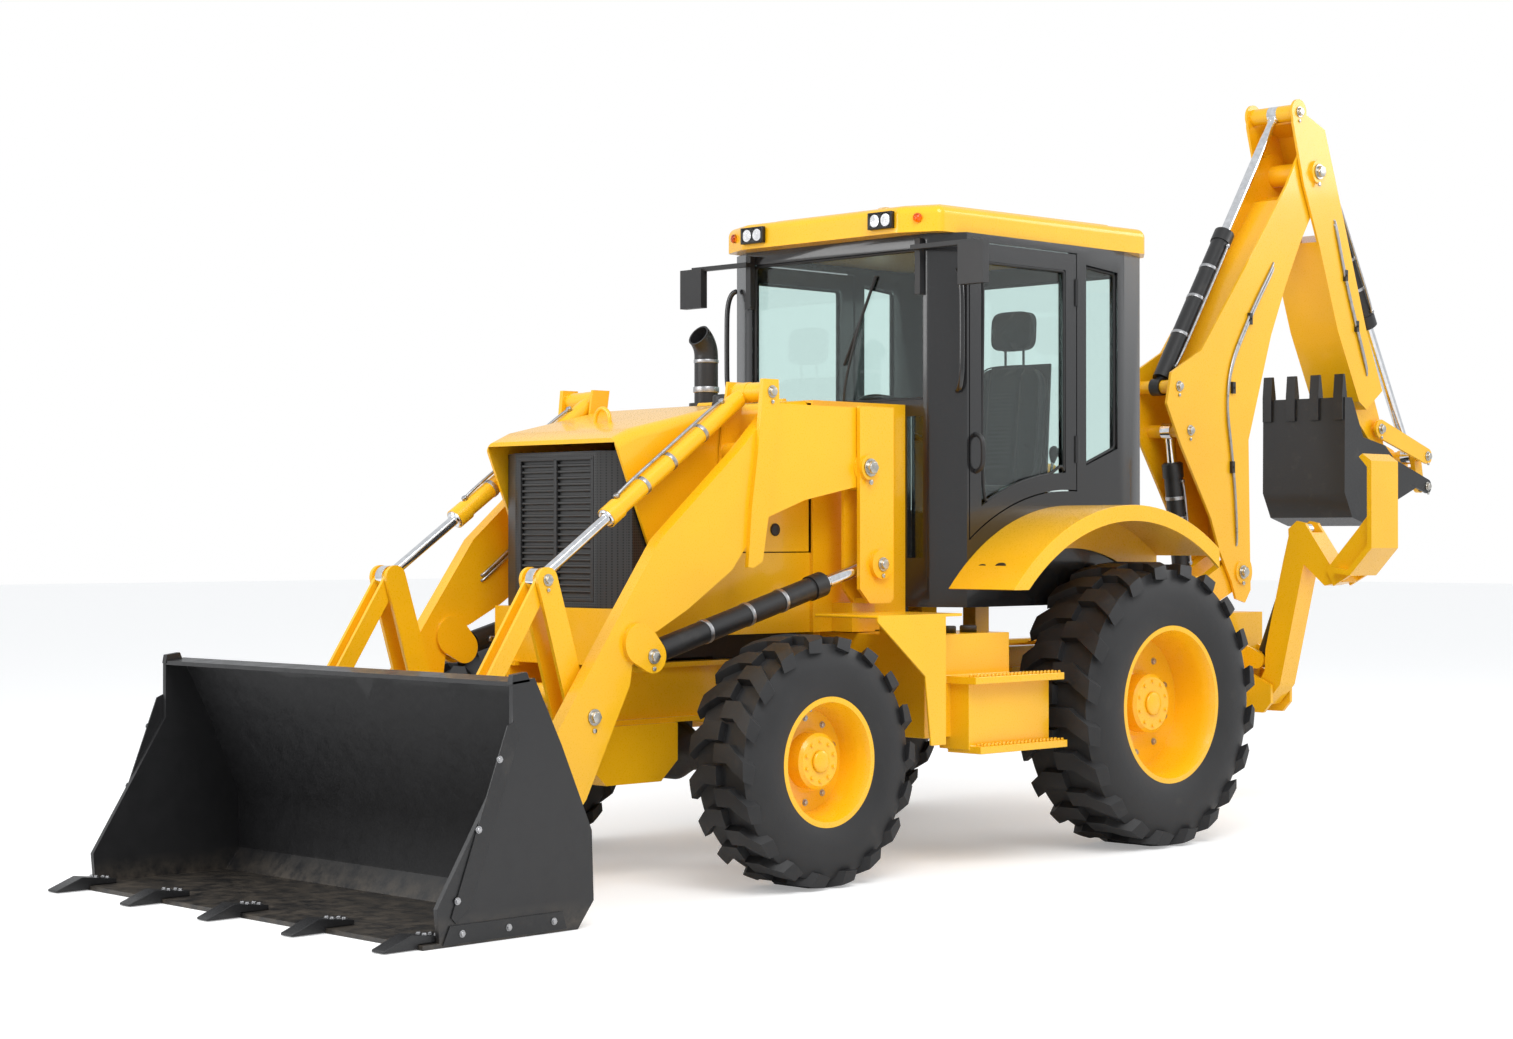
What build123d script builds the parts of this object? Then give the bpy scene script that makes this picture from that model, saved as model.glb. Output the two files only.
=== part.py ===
from build123d import *
import math
import os

# Backhoe loader, millimetres. +X forward, +Y to the machine's left, +Z up, wheels on Z = 0.
# Lengths along the machine are measured forward from the rear axle; rear_axle_x carries
# them into the part's frame, whose origin lies on the floor under the middle of the machine.
rear_axle_x = -170
wheelbase = 2060

# Wheels and tyres
front_tyre_radius = 490
front_tyre_width = 320
front_tyre_middle = 860
front_rim_radius = 254
rear_tyre_radius = 625
rear_tyre_width = 420
rear_tyre_middle = 930
rear_rim_radius = 347
rim_wall = 14
lug_depth = 34
front_lugs = 18
rear_lugs = 20
kingpin_y = 600
wheel_gap = 0.5

# Chassis
rail_middle = 270
rail_width = 80
rail_bottom = 620
rail_height = 240
frame_front = 2620
frame_rear = -1400
plate_wall = 20

# Loader
arm_pivot = (1440, 1647)
arm_middle = 570
arm_width = 60
bucket_pivot = (3210, 245)
lever_pivot = (2921, 686)
knee_pin = (3080, 1200)
tilt_base = (1997, 1940)
lift_base = (1368, 1247)
lift_pin = (2637, 905)
link_middle = 465
bucket_half = 1090
bucket_wall = 16
side_gap = 0.5
seat_gap = 0.3
tooth_tip_x = 4240

# Cab and hood
cab_half = 700
cab_front = 980
cab_rear = -450
cab_floor_z = 1060
cab_top_z = 2660
cab_wall = 50
glass_thickness = 8
door_hinge_x = 150
door_gap = 6
hood_half = 400
hood_wall = 12
hood_hinge_x = 1560
hood_front = 2620
engine_half = 250

# Backhoe
swing_x = -1550
boom_pivot = (-1949, 1179)
boom_half = 130
dipper_half = 150
hoe_end_half = 85
boom_wall = 14
horn_pin = (-1406, 2120)
dipper_pivot = (-2617, 3317)
dipper_top_pin = (-2457, 3621)
boom_cylinder_base = (-1620, 1100)
boom_cylinder_pin = (-1500, 1900)
dipper_end_pin = (-3298, 1960)
hoe_bucket_pin = (-3332, 1790)
lever_tip_pin = (-3785, 1819)
bucket_cylinder_base = (-2880, 3360)
hoe_bucket_half = 260

# Stabilisers, in the plane across the machine: y, z
leg_x = -1750
leg_pivot = (420, 567)
leg_end = (846, 1150)
leg_cylinder_base = (400, 740)
leg_cylinder_pin = (650, 1392)


def side_plane(y):
    """Drawing plane along the machine at width y: x forward from the rear axle, y up."""
    return Plane(origin=(rear_axle_x, y, 0), x_dir=(1, 0, 0), z_dir=(0, -1, 0))


def top_plane(z):
    return Plane(origin=(rear_axle_x, 0, z))


def cross_plane(x):
    """Drawing plane across the machine at x: x is the machine's y, y is up."""
    return Plane(origin=(rear_axle_x + x, 0, 0), x_dir=(0, 1, 0), z_dir=(1, 0, 0))


def point(x, y, z):
    return Vector(rear_axle_x + x, y, z)


def side_plate(points, y, thickness, corner=0, mode=Mode.ADD):
    """Straight-edged plate along the machine, centred on y."""
    with BuildSketch(side_plane(y + thickness / 2)) as outline:
        with BuildLine():
            Polyline(*points, close=True)
        make_face()
        if corner > 0:
            fillet(outline.vertices(), corner)
    extrude(outline.sketch, amount=thickness, mode=mode)


def cross_plate(points, x, thickness, corner=0, mode=Mode.ADD):
    """Straight-edged plate across the machine, centred on x."""
    with BuildSketch(cross_plane(x - thickness / 2)) as outline:
        with BuildLine():
            Polyline(*points, close=True)
        make_face()
        if corner > 0:
            fillet(outline.vertices(), corner)
    extrude(outline.sketch, amount=thickness, mode=mode)


def flat_plate(points, z, thickness, corner=0, mode=Mode.ADD):
    """Level plate with its underside at z."""
    with BuildSketch(top_plane(z)) as outline:
        with BuildLine():
            Polyline(*points, close=True)
        make_face()
        if corner > 0:
            fillet(outline.vertices(), corner)
    extrude(outline.sketch, amount=thickness, mode=mode)


def side_boss(centre, y, width, radius, mode=Mode.ADD):
    """Round boss or bore along Y, centred on y."""
    with BuildSketch(side_plane(y + width / 2)) as outline:
        with Locations(centre):
            Circle(radius)
    extrude(outline.sketch, amount=width, mode=mode)


def cross_boss(centre, x, width, radius, mode=Mode.ADD):
    """Round boss or bore along X, centred on x."""
    with BuildSketch(cross_plane(x - width / 2)) as outline:
        with Locations(centre):
            Circle(radius)
    extrude(outline.sketch, amount=width, mode=mode)


def upright(x, y, z, height, radius, mode=Mode.ADD):
    """Round post with its foot at x, y, z."""
    with BuildSketch(top_plane(z)) as outline:
        with Locations((x, y)):
            Circle(radius)
    extrude(outline.sketch, amount=height, mode=mode)


def block(low, high, mode=Mode.ADD):
    """Box between two corners given from the rear axle."""
    with BuildSketch(top_plane(low[2])) as outline:
        with Locations(((low[0] + high[0]) / 2, (low[1] + high[1]) / 2)):
            Rectangle(high[0] - low[0], high[1] - low[1])
    extrude(outline.sketch, amount=high[2] - low[2], mode=mode)


def bar(start, end, start_radius, end_radius, y, width, mode=Mode.ADD):
    """Round-ended flat bar between two pins in a side plane."""
    with BuildSketch(side_plane(y + width / 2)) as outline:
        with Locations(start):
            Circle(start_radius)
        with Locations(end):
            Circle(end_radius)
        make_hull()
    extrude(outline.sketch, amount=width, mode=mode)


def distance(start, end):
    return math.hypot(end[0] - start[0], end[1] - start[1])


def between(start, end, share):
    """Point at a share of the way between two points."""
    return (start[0] + (end[0] - start[0]) * share, start[1] + (end[1] - start[1]) * share)


def tube(start, end, y, radius, first, last, bore=0, mode=Mode.ADD):
    """Round tube along the line from start to end in a side plane, from first to last along it."""
    length = distance(start, end)
    direction = Vector((end[0] - start[0]) / length, 0, (end[1] - start[1]) / length)
    foot = point(start[0], y, start[1]) + direction * first
    with BuildSketch(Plane(origin=foot, x_dir=(0, 1, 0), z_dir=direction)) as outline:
        Circle(radius)
        if bore > 0:
            Circle(bore, mode=Mode.SUBTRACT)
    extrude(outline.sketch, amount=last - first, mode=mode)


def cross_tube(start, end, x, radius, first, last, bore=0, mode=Mode.ADD):
    """Round tube between two points of a plane across the machine."""
    length = distance(start, end)
    direction = Vector(0, (end[0] - start[0]) / length, (end[1] - start[1]) / length)
    foot = point(x, start[0], start[1]) + direction * first
    with BuildSketch(Plane(origin=foot, x_dir=(1, 0, 0), z_dir=direction)) as outline:
        Circle(radius)
        if bore > 0:
            Circle(bore, mode=Mode.SUBTRACT)
    extrude(outline.sketch, amount=last - first, mode=mode)


def save(built, name):
    built.part.label = name
    export_step(built.part, f"parts/{name}.step")


os.makedirs("parts", exist_ok=True)

# Wheels: one tyre and one rim a wheel, drawn across the axle and turned about it.


def wheel_plane(x, y, radius):
    """Plane through the axle line of a wheel: local x outward along the axle, y up."""
    return Plane(origin=point(x, y, radius), x_dir=(0, 1, 0), z_dir=(1, 0, 0))


def build_tyre(x, side, middle, radius, width, rim_radius, lugs):
    """Tyre carcass with two rows of slanting lugs; side is 1 for left and -1 for right."""
    half = width / 2
    carcass = radius - lug_depth
    axle = Axis(point(x, 0, radius), (0, 1, 0))
    shoulder = half * 0.78
    with BuildPart() as tyre:
        with BuildSketch(wheel_plane(x, side * middle, radius)):
            with BuildLine():
                Polyline((-half * 0.86, rim_radius), (half * 0.86, rim_radius))
                Spline((half * 0.86, rim_radius), (half * 0.97, (rim_radius + carcass) / 2), (shoulder, carcass))
                Line((shoulder, carcass), (-shoulder, carcass))
                Spline((-shoulder, carcass), (-half * 0.97, (rim_radius + carcass) / 2), (-half * 0.86, rim_radius))
            make_face()
        revolve(axis=axle)
        step = 360 / lugs
        lug_width = 2 * math.pi * radius / lugs * 0.42
        lug_parts = []
        lug_copies = []
        for row in (-1, 1):
            with BuildSketch(Plane(origin=point(x, side * middle, radius), x_dir=(0, 1, 0), z_dir=(0, 0, 1))) as lug:
                with BuildLine():
                    Polyline(
                        (row * -8, lug_width * 0.1),
                        (row * half * 0.45, lug_width * 0.1),
                        (row * half, -lug_width * 0.9),
                        (row * half, -lug_width * 1.9),
                        (row * half * 0.38, -lug_width * 0.9),
                        (row * -8, -lug_width * 0.9),
                        close=True,
                    )
                make_face()
            lug_parts.append((row, lug.sketch))
        with BuildPart(mode=Mode.PRIVATE) as envelope:
            with BuildSketch(wheel_plane(x, side * middle, radius)):
                with BuildLine():
                    Polyline(
                        (-half, carcass * 0.8),
                        (half, carcass * 0.8),
                        (half, carcass * 0.955),
                        (half * 0.92, radius * 0.985),
                        (half * 0.6, radius),
                        (-half * 0.6, radius),
                        (-half * 0.92, radius * 0.985),
                        (-half, carcass * 0.955),
                        close=True,
                    )
                make_face()
            revolve(axis=axle)
        for row, lug_sketch in lug_parts:
            with BuildPart(mode=Mode.PRIVATE) as single:
                extrude(lug_sketch, amount=radius)
                extrude(lug_sketch, amount=carcass * 0.93, mode=Mode.SUBTRACT)
                add(envelope.part, mode=Mode.INTERSECT)
            for index in range(lugs):
                turn = index * step + (0 if row > 0 else step / 2)
                lug_copies.append(single.part.rotate(axle, turn))
        add(lug_copies)
    return tyre


def build_rim(x, side, middle, radius, width, rim_radius, dish, hub_radius, hub_reach):
    """Deep dished rim with its hub cap, one revolved profile."""
    half = width * 0.43
    inner = rim_radius - rim_wall
    face = dish
    axle = Axis(point(x, 0, radius), (0, 1, 0))
    with BuildPart() as rim:
        with BuildSketch(wheel_plane(x, side * middle, radius)):
            with BuildLine():
                Polyline(
                    (-side * half, rim_radius - side_gap),
                    (side * half, rim_radius - side_gap),
                    (side * half, inner - 8),
                    (side * (half - 22), inner - 18),
                    (side * (half - 60), inner - 30),
                    (side * (face + 22), inner - 40),
                    (side * (face + 22), hub_radius + 22),
                    (side * (face + 30), hub_radius),
                    (side * (hub_reach - 12), hub_radius),
                    (side * hub_reach, hub_radius - 14),
                    (side * hub_reach, 0),
                    (side * face, 0),
                    (side * face, inner - 52),
                    (-side * (half - 6), inner - 44),
                    (-side * half, inner - 30),
                    close=True,
                )
            make_face()
        revolve(axis=axle)
    return rim



front_tyre = build_tyre(
    wheelbase, 1, front_tyre_middle, front_tyre_radius, front_tyre_width, front_rim_radius, front_lugs
)
rear_tyre = build_tyre(0, 1, rear_tyre_middle, rear_tyre_radius, rear_tyre_width, rear_rim_radius, rear_lugs)
front_disc = front_tyre_middle - 20
rear_disc = rear_tyre_middle - 40
front_rim = build_rim(
    wheelbase, 1, front_tyre_middle, front_tyre_radius, front_tyre_width, front_rim_radius, -20, 110, 85
)
rear_rim = build_rim(0, 1, rear_tyre_middle, rear_tyre_radius, rear_tyre_width, rear_rim_radius, -40, 130, 75)
wheel_pieces = (
    (front_tyre, "tyre_front"),
    (rear_tyre, "tyre_rear"),
    (front_rim, "rim_front"),
    (rear_rim, "rim_rear"),
)
for piece, name in wheel_pieces:
    save(piece, f"{name}_left")
    with BuildPart() as far_side:
        add(mirror(piece.part, about=Plane.XZ))
    save(far_side, f"{name}_right")

# Front axle, its yokes and the steered knuckles.

yoke_half = 60
yoke_low = 95
yoke_high = 135
with BuildPart() as front_axle:
    with BuildSketch(wheel_plane(wheelbase, 0, front_tyre_radius)):
        with BuildLine():
            Polyline(
                (-500, 0), (-500, 66), (-220, 78), (-130, 122), (130, 122), (220, 78), (500, 66), (500, 0), close=True
            )
        make_face()
    revolve(axis=Axis(point(wheelbase, 0, front_tyre_radius), (0, 1, 0)))
    block((wheelbase - 100, -120, front_tyre_radius + 60), (wheelbase + 100, 120, rail_bottom))
    for side in (1, -1):
        inner_y, outer_y = sorted((side * 480, side * 525))
        block(
            (wheelbase - yoke_half, inner_y, front_tyre_radius - yoke_high),
            (wheelbase + yoke_half, outer_y, front_tyre_radius + yoke_high),
        )
        for low in (-yoke_high, yoke_low):
            bottom = front_tyre_radius + low
            inner_y, outer_y = sorted((side * 500, side * kingpin_y))
            block((wheelbase - yoke_half, inner_y, bottom), (wheelbase + yoke_half, outer_y, bottom + 40))
            upright(wheelbase, side * kingpin_y, bottom, 40, yoke_half)
save(front_axle, "front_axle")

for side, side_name in ((1, "left"), (-1, "right")):
    with BuildPart() as knuckle:
        upright(wheelbase, side * kingpin_y, front_tyre_radius - yoke_low + seat_gap, 2 * (yoke_low - seat_gap), 52)
        reach = front_disc - wheel_gap - kingpin_y
        side_boss((wheelbase, front_tyre_radius), side * (kingpin_y + reach / 2), reach, 80)
        side_boss((wheelbase, front_tyre_radius), side * (kingpin_y + reach - 45), 90, 150)
    save(knuckle, f"knuckle_{side_name}")

# Rear axle with its brake housings, saddled under the rails.

saddle_z = 745
with BuildPart() as rear_axle:
    with BuildSketch(wheel_plane(0, 0, rear_tyre_radius)):
        with BuildLine():
            Polyline(
                (-(rear_disc - wheel_gap), 0),
                (-(rear_disc - wheel_gap), 120),
                (-700, 120),
                (-700, 170),
                (-590, 170),
                (-560, 98),
                (-240, 98),
                (-150, 185),
                (150, 185),
                (240, 98),
                (560, 98),
                (590, 170),
                (700, 170),
                (700, 120),
                (rear_disc - wheel_gap, 120),
                (rear_disc - wheel_gap, 0),
                close=True,
            )
        make_face()
    revolve(axis=Axis(point(0, 0, rear_tyre_radius), (0, 1, 0)))
    for side in (1, -1):
        low_y, high_y = sorted((side * (rail_middle - rail_width / 2), side * (rail_middle + rail_width / 2)))
        block((-90, low_y, rear_tyre_radius + 40), (90, high_y, saddle_z))
save(rear_axle, "rear_axle")

# Main frame: two channel rails, cross members, the nose weight and the radiator base.

nose_half = 330
tow_pin_x = 2680
tow_pin_radius = 16
radiator_base_z = 1080
cab_post_x = (700, -300)
with BuildPart() as main_frame:
    rail_top = rail_bottom + rail_height
    rail_rear = frame_rear + 60
    block((rail_rear, rail_middle - 12, rail_bottom), (frame_front, rail_middle + 13, rail_top))
    for flange_z in (rail_bottom, rail_top - plate_wall):
        block(
            (rail_rear, rail_middle - rail_width / 2, flange_z),
            (frame_front, rail_middle + rail_width / 2, flange_z + plate_wall),
        )
    block((-110, rail_middle - 50, rail_bottom - 10), (110, rail_middle + 50, saddle_z), mode=Mode.SUBTRACT)
    block((-130, rail_middle - rail_width / 2, saddle_z), (130, rail_middle + rail_width / 2, saddle_z + plate_wall))
    for post_x in cab_post_x:
        block((post_x - 50, rail_middle - 40, rail_top), (post_x + 50, rail_middle + 40, cab_floor_z))
    mirror(about=Plane.XZ)
    for member_x in (wheelbase, 500, -700, frame_rear + 150):
        block((member_x - 50, -rail_middle, rail_top - 90), (member_x + 50, rail_middle, rail_top - 10))
    block((wheelbase - 110, -rail_middle, rail_bottom), (wheelbase + 110, rail_middle, rail_bottom + 40))
    nose = (
        (2240, rail_bottom),
        (2240, 470),
        (2330, 390),
        (2620, 390),
        (2720, 480),
        (2720, 700),
        (frame_front - 1, 700),
        (frame_front - 1, rail_bottom),
    )
    side_plate(nose, 0, 2 * nose_half)
    block((2640, -70, 540), (2721, 70, 620), mode=Mode.SUBTRACT)
    upright(tow_pin_x, 0, 400, 310, tow_pin_radius, mode=Mode.SUBTRACT)
    block((2400, -hood_half + 20, rail_top - 5), (2600, hood_half - 20, radiator_base_z))
save(main_frame, "main_frame")

# Rear frame: the box that carries the stabiliser legs and the swing post.

post_top_z = 980
post_low_z = 580
lug_plate = 40
post_radius = 100
neck_radius = 60
rear_box_front = leg_x + 90
rear_box_rear = leg_x - 90
rear_box_half = 330
leg_lug = 85
leg_eye_half = 46
with BuildPart() as rear_frame:
    block((rear_box_rear, -rear_box_half, post_low_z), (rear_box_front, rear_box_half, post_top_z - lug_plate))
    for side in (1, -1):
        low_y, high_y = sorted((side * 200, side * rear_box_half))
        block((rear_box_front - 1, low_y, post_low_z), (frame_rear + 60, high_y, post_top_z - lug_plate))
    for lug_z in (post_low_z, post_top_z - lug_plate):
        flat_plate(
            (
                (rear_box_front, -rear_box_half),
                (rear_box_front, rear_box_half),
                (frame_rear + 60, rear_box_half),
                (frame_rear + 60, -rear_box_half),
            ),
            lug_z,
            lug_plate,
        )
    block((frame_rear, -rail_middle, post_low_z), (frame_rear + 60, rail_middle, post_top_z))
    block((rear_box_rear, -rear_box_half, post_top_z - lug_plate - 1), (rear_box_front, rear_box_half, post_top_z))
    for lug_z in (post_low_z, post_top_z - lug_plate):
        upright(swing_x, 0, lug_z - 5, lug_plate + 10, neck_radius + seat_gap, mode=Mode.SUBTRACT)
    for shift in (-leg_lug, leg_lug):
        lug = (
            (rear_box_half - 1, 480),
            (leg_pivot[0] + 40, 480),
            (leg_pivot[0] + 85, 530),
            (leg_pivot[0] + 85, 620),
            (rear_box_half - 1, 700),
        )
        cross_plate(lug, leg_x + shift, plate_wall)
        cross_plate([(-y, z) for y, z in lug], leg_x + shift, plate_wall)
    for shift in (-leg_eye_half - 10, leg_eye_half + 10):
        for side in (1, -1):
            with BuildSketch(cross_plane(leg_x + shift - 10)) as ear:
                with Locations((side * leg_cylinder_base[0], leg_cylinder_base[1])):
                    Circle(42)
                with Locations((side * (rear_box_half - 20), leg_cylinder_base[1] + 20)):
                    Circle(60)
                make_hull()
            extrude(ear.sketch, amount=20)
save(rear_frame, "rear_frame")

# Engine and gearbox as plain masses, with the drive shafts that show from below.

with BuildPart() as engine_and_gearbox:
    block((1450, -220, 640), (1940, 220, 1500))
    block((1939, -220, 870), (2300, 220, 1500))
    block((600, -200, 520), (1451, 200, 900))
    for mount_x in (720, 1560):
        mount_half = rail_middle - rail_width / 2 - seat_gap
        block((mount_x - 40, -mount_half, 790), (mount_x + 40, mount_half, 858))
    tube((200, 620), (620, 600), 0, 36, -12, 421)
    tube((1430, 540), (1950, 500), 0, 36, 0, 500)
save(engine_and_gearbox, "engine_and_gearbox")

# Loader towers: two cheeks a side, joined by a cross beam that stands on the rails.

cheek_wall = 18
arm_clearance = 5
tower_front = 1486
tower_rear = 1280
tower_foot_z = 1085
outer_cheek = arm_middle + arm_width / 2 + arm_clearance + cheek_wall / 2
inner_cheek = arm_middle - arm_width / 2 - arm_clearance - cheek_wall / 2
tower_outline = (
    (tower_rear, tower_foot_z + 20),
    (tower_rear, 1900),
    (tower_front, 1900),
    (tower_front, tower_foot_z + 60),
    (tower_front - 60, tower_foot_z),
    (tower_rear + 20, tower_foot_z),
)
with BuildPart() as loader_towers:
    for cheek_y in (outer_cheek, inner_cheek):
        side_plate(tower_outline, cheek_y, cheek_wall)
    block(
        (tower_rear + 20, inner_cheek - 9, tower_foot_z), (tower_front - 60, outer_cheek + 9, tower_foot_z + 22)
    )
    block((tower_rear, inner_cheek - 9, tower_foot_z + 100), (tower_rear + 12, outer_cheek + 9, 1420))
    side_boss(arm_pivot, outer_cheek + cheek_wall / 2 + 8, 16, 52)
    side_boss(lift_base, outer_cheek + cheek_wall / 2 + 10, 20, 62)
    for lift_eye_y in (outer_cheek - cheek_wall / 2 - 2.5, inner_cheek + cheek_wall / 2 + 2.5):
        side_boss(lift_base, lift_eye_y, 5, 40)
    boss_width = arm_clearance - side_gap
    side_boss(arm_pivot, arm_middle + arm_width / 2 + side_gap + boss_width / 2, boss_width, 60)
    side_boss(arm_pivot, arm_middle - arm_width / 2 - side_gap - boss_width / 2, boss_width, 60)
    block((tower_rear + 20, 0, 965), (tower_front - 46, inner_cheek + 9, tower_foot_z + 1))
    block((tower_rear + 20, rail_middle - 40, rail_bottom + rail_height), (tower_front - 46, rail_middle + 40, 966))
    mirror(about=Plane.XZ)
save(loader_towers, "loader_towers")

# Tank boxes with their steps and the guards behind the front wheels.

tank_front = 1400
tank_outer = 900
step_outer = 1060
with BuildPart() as side_boxes:
    block((860, rail_middle + rail_width / 2, 540), (tank_front, tank_outer, 960))
    block((720, tank_outer - 60, 490), (1240, step_outer - 60, 775))
    block((690, tank_outer - 20, 760), (1265, step_outer, 790))
    block((670, tank_outer - 20, 475), (1235, step_outer, 505))
    guard = ((1380, 520), (1470, 520), (1505, 800), (1785, 1022), (1785, 1050), (1380, 1050))
    side_plate(guard, step_outer - 66, 12)
    block((1280, 650, 1038), (1785, step_outer - 60, 1050))
    block((1280, 650, 958), (tank_front, tank_outer, 1040))
    mirror(about=Plane.XZ)
save(side_boxes, "side_boxes")

# Rear fenders: an arched plate a side with its lip and inner web.

fender_centre = (200, 380)
fender_radius = 1120
fender_wall = 26
fender_outer = 1060
fender_front = 1020
fender_end = -430
fender_low = 1140


def fender_band(thickness, y, width):
    """Part of a ring above the rear wheel, cut off at its two ends."""
    with BuildSketch(side_plane(y + width / 2)) as band:
        with Locations(fender_centre):
            Circle(fender_radius)
            Circle(fender_radius - thickness, mode=Mode.SUBTRACT)
        with Locations(((fender_front + fender_end) / 2, fender_low + 500)):
            Rectangle(fender_front - fender_end, 1000, mode=Mode.INTERSECT)
    extrude(band.sketch, amount=width)


with BuildPart() as rear_fenders:
    fender_inner = cab_half + seat_gap
    fender_band(fender_wall, (fender_inner + fender_outer) / 2, fender_outer - fender_inner)
    fender_band(70, fender_outer - 8, 16)
    fender_band(190, fender_inner + 5, 10)
    mirror(about=Plane.XZ)
save(rear_fenders, "rear_fenders")

# Hood lid, fixed cowl and side panels, grille and exhaust.

hood_low = 1300
hood_rear_z = 1930
hood_hinge = (hood_hinge_x, hood_rear_z)
hinge_radius = 12
hood_outline = (
    (hood_hinge_x, hood_low),
    (hood_hinge_x, hood_rear_z),
    (2050, 1890),
    (2540, 1785),
    (hood_front + 10, 1745),
    (hood_front + 10, 1715),
    (2450, hood_low),
)
hood_hollow = (
    (hood_hinge_x - 60, hood_low - 50),
    (hood_hinge_x - 60, hood_rear_z - hood_wall + 5),
    (2050, 1890 - hood_wall),
    (2536, 1785 - hood_wall - 2),
    (hood_front + 60, 1705),
    (hood_front + 60, hood_low - 50),
)


def top_edges(part, half):
    """Long upper edges of a shell at width half."""
    return [e for e in part.edges() if abs(abs(e.center().Y) - half) < 1 and e.center().Z > 1740 and e.length > 60]


with BuildPart() as hood:
    with BuildPart(mode=Mode.PRIVATE) as hollow:
        side_plate(hood_hollow, 0, 2 * (hood_half - hood_wall))
        fillet(top_edges(hollow.part, hood_half - hood_wall), 34)
    side_plate(hood_outline, 0, 2 * hood_half)
    fillet(top_edges(hood.part, hood_half), 46)
    add(hollow.part, mode=Mode.SUBTRACT)
    for side in (1, -1):
        for shift in (-45, 45):
            side_boss(hood_hinge, side * 200 + shift, 30 + 2 * side_gap, hinge_radius + side_gap, mode=Mode.SUBTRACT)
        side_boss(hood_hinge, side * 200, 60 - 2 * seat_gap, hinge_radius)
save(hood, "hood")

cowl_half = 420
cowl_top = 1930
with BuildPart() as cowl:
    cowl_outline = ((cab_front + 1, 965), (cab_front + 1, cowl_top), (hood_hinge_x - 6, cowl_top), (hood_hinge_x - 6, 965))
    side_plate(cowl_outline, 0, 2 * cowl_half)
    cowl_hollow = (
        (cab_front + 13, 900),
        (cab_front + 13, cowl_top - 12),
        (hood_hinge_x + 20, cowl_top - 12),
        (hood_hinge_x + 20, 900),
    )
    side_plate(cowl_hollow, 0, 2 * (cowl_half - 12), mode=Mode.SUBTRACT)
    block((tower_rear + 19, -cowl_half - 10, 920), (tower_front - 45, cowl_half + 10, tower_foot_z + 1), mode=Mode.SUBTRACT)
    for side in (1, -1):
        low_y, high_y = sorted((side * (hood_half - hood_wall), side * hood_half))
        block((hood_hinge_x - 8, low_y, 965), (2440, high_y, hood_low - 5))
        low_y, high_y = sorted((side * (hood_half - hood_wall), side * cowl_half))
        block((hood_hinge_x - 20, low_y, 965), (hood_hinge_x - 6, high_y, hood_low - 5))
        side_boss(hood_hinge, side * 200, 60, hinge_radius + side_gap, mode=Mode.SUBTRACT)
        for shift in (-45, 45):
            side_boss(hood_hinge, side * 200 + shift, 30, hinge_radius)
save(cowl, "cowl")

grille_front = 2600
grille_top = 1700
grille_bars = 22
with BuildPart() as grille:
    outline = (
        (2440, -380),
        (grille_front - 70, -380),
        (grille_front, -250),
        (grille_front, 250),
        (grille_front - 70, 380),
        (2440, 380),
    )
    flat_plate(outline, radiator_base_z, grille_top - radiator_base_z)
    block((grille_front - 14, -225, radiator_base_z + 40), (grille_front + 1, 225, grille_top - 30), mode=Mode.SUBTRACT)
    bar_pitch = (grille_top - radiator_base_z - 70) / grille_bars
    for index in range(1, grille_bars):
        low = radiator_base_z + 40 + index * bar_pitch
        block((grille_front - 15, -226, low - 5), (grille_front - 3, 226, low + 5))
save(grille, "grille")

exhaust_x = 1480
exhaust_y = -300
with BuildPart() as exhaust:
    with BuildLine(side_plane(exhaust_y)) as pipe_path:
        rise = Line((exhaust_x, cowl_top + 0.3), (exhaust_x, 2150))
        JernArc(start=rise @ 1, tangent=rise % 1, radius=110, arc_size=-55)
    with BuildSketch(Plane(origin=point(exhaust_x, exhaust_y, cowl_top + 0.3), z_dir=(0, 0, 1))):
        Circle(52)
        Circle(44, mode=Mode.SUBTRACT)
    sweep(path=pipe_path.wires()[0])
    upright(exhaust_x, exhaust_y, cowl_top + 0.3, 14, 75)
save(exhaust, "exhaust")

# Cab: black welded frame with cut windows, glass, two doors, roof and what is inside.

cab_plan = (
    (cab_front, -560),
    (900, -cab_half),
    (-200, -cab_half),
    (cab_rear, -600),
    (cab_rear, 600),
    (-200, cab_half),
    (900, cab_half),
    (cab_front, 560),
)
door_thickness = 45
hinge_heights = (1750, 2450)
door_front = 880
door_top = 2620
door_arch = fender_radius + 70
door_rear = door_hinge_x + 2
screen_half = 520


def door_outline(y, grow, thickness, mode=Mode.ADD):
    """Door shape with its arched lower edge, grown all round by a margin."""
    with BuildSketch(side_plane(y)) as outline:
        with BuildLine():
            Polyline(
                (door_rear - grow, 1000),
                (door_rear - grow, door_top + grow),
                (door_front + grow, door_top + grow),
                (door_front + grow, 1000),
                close=True,
            )
        make_face()
        with Locations(fender_centre):
            Circle(door_arch - grow, mode=Mode.SUBTRACT)
    extrude(outline.sketch, amount=thickness, mode=mode)


quarter_window = ((80, 1680), (80, 2580), (-150, 2560), (-150, 1760))


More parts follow.
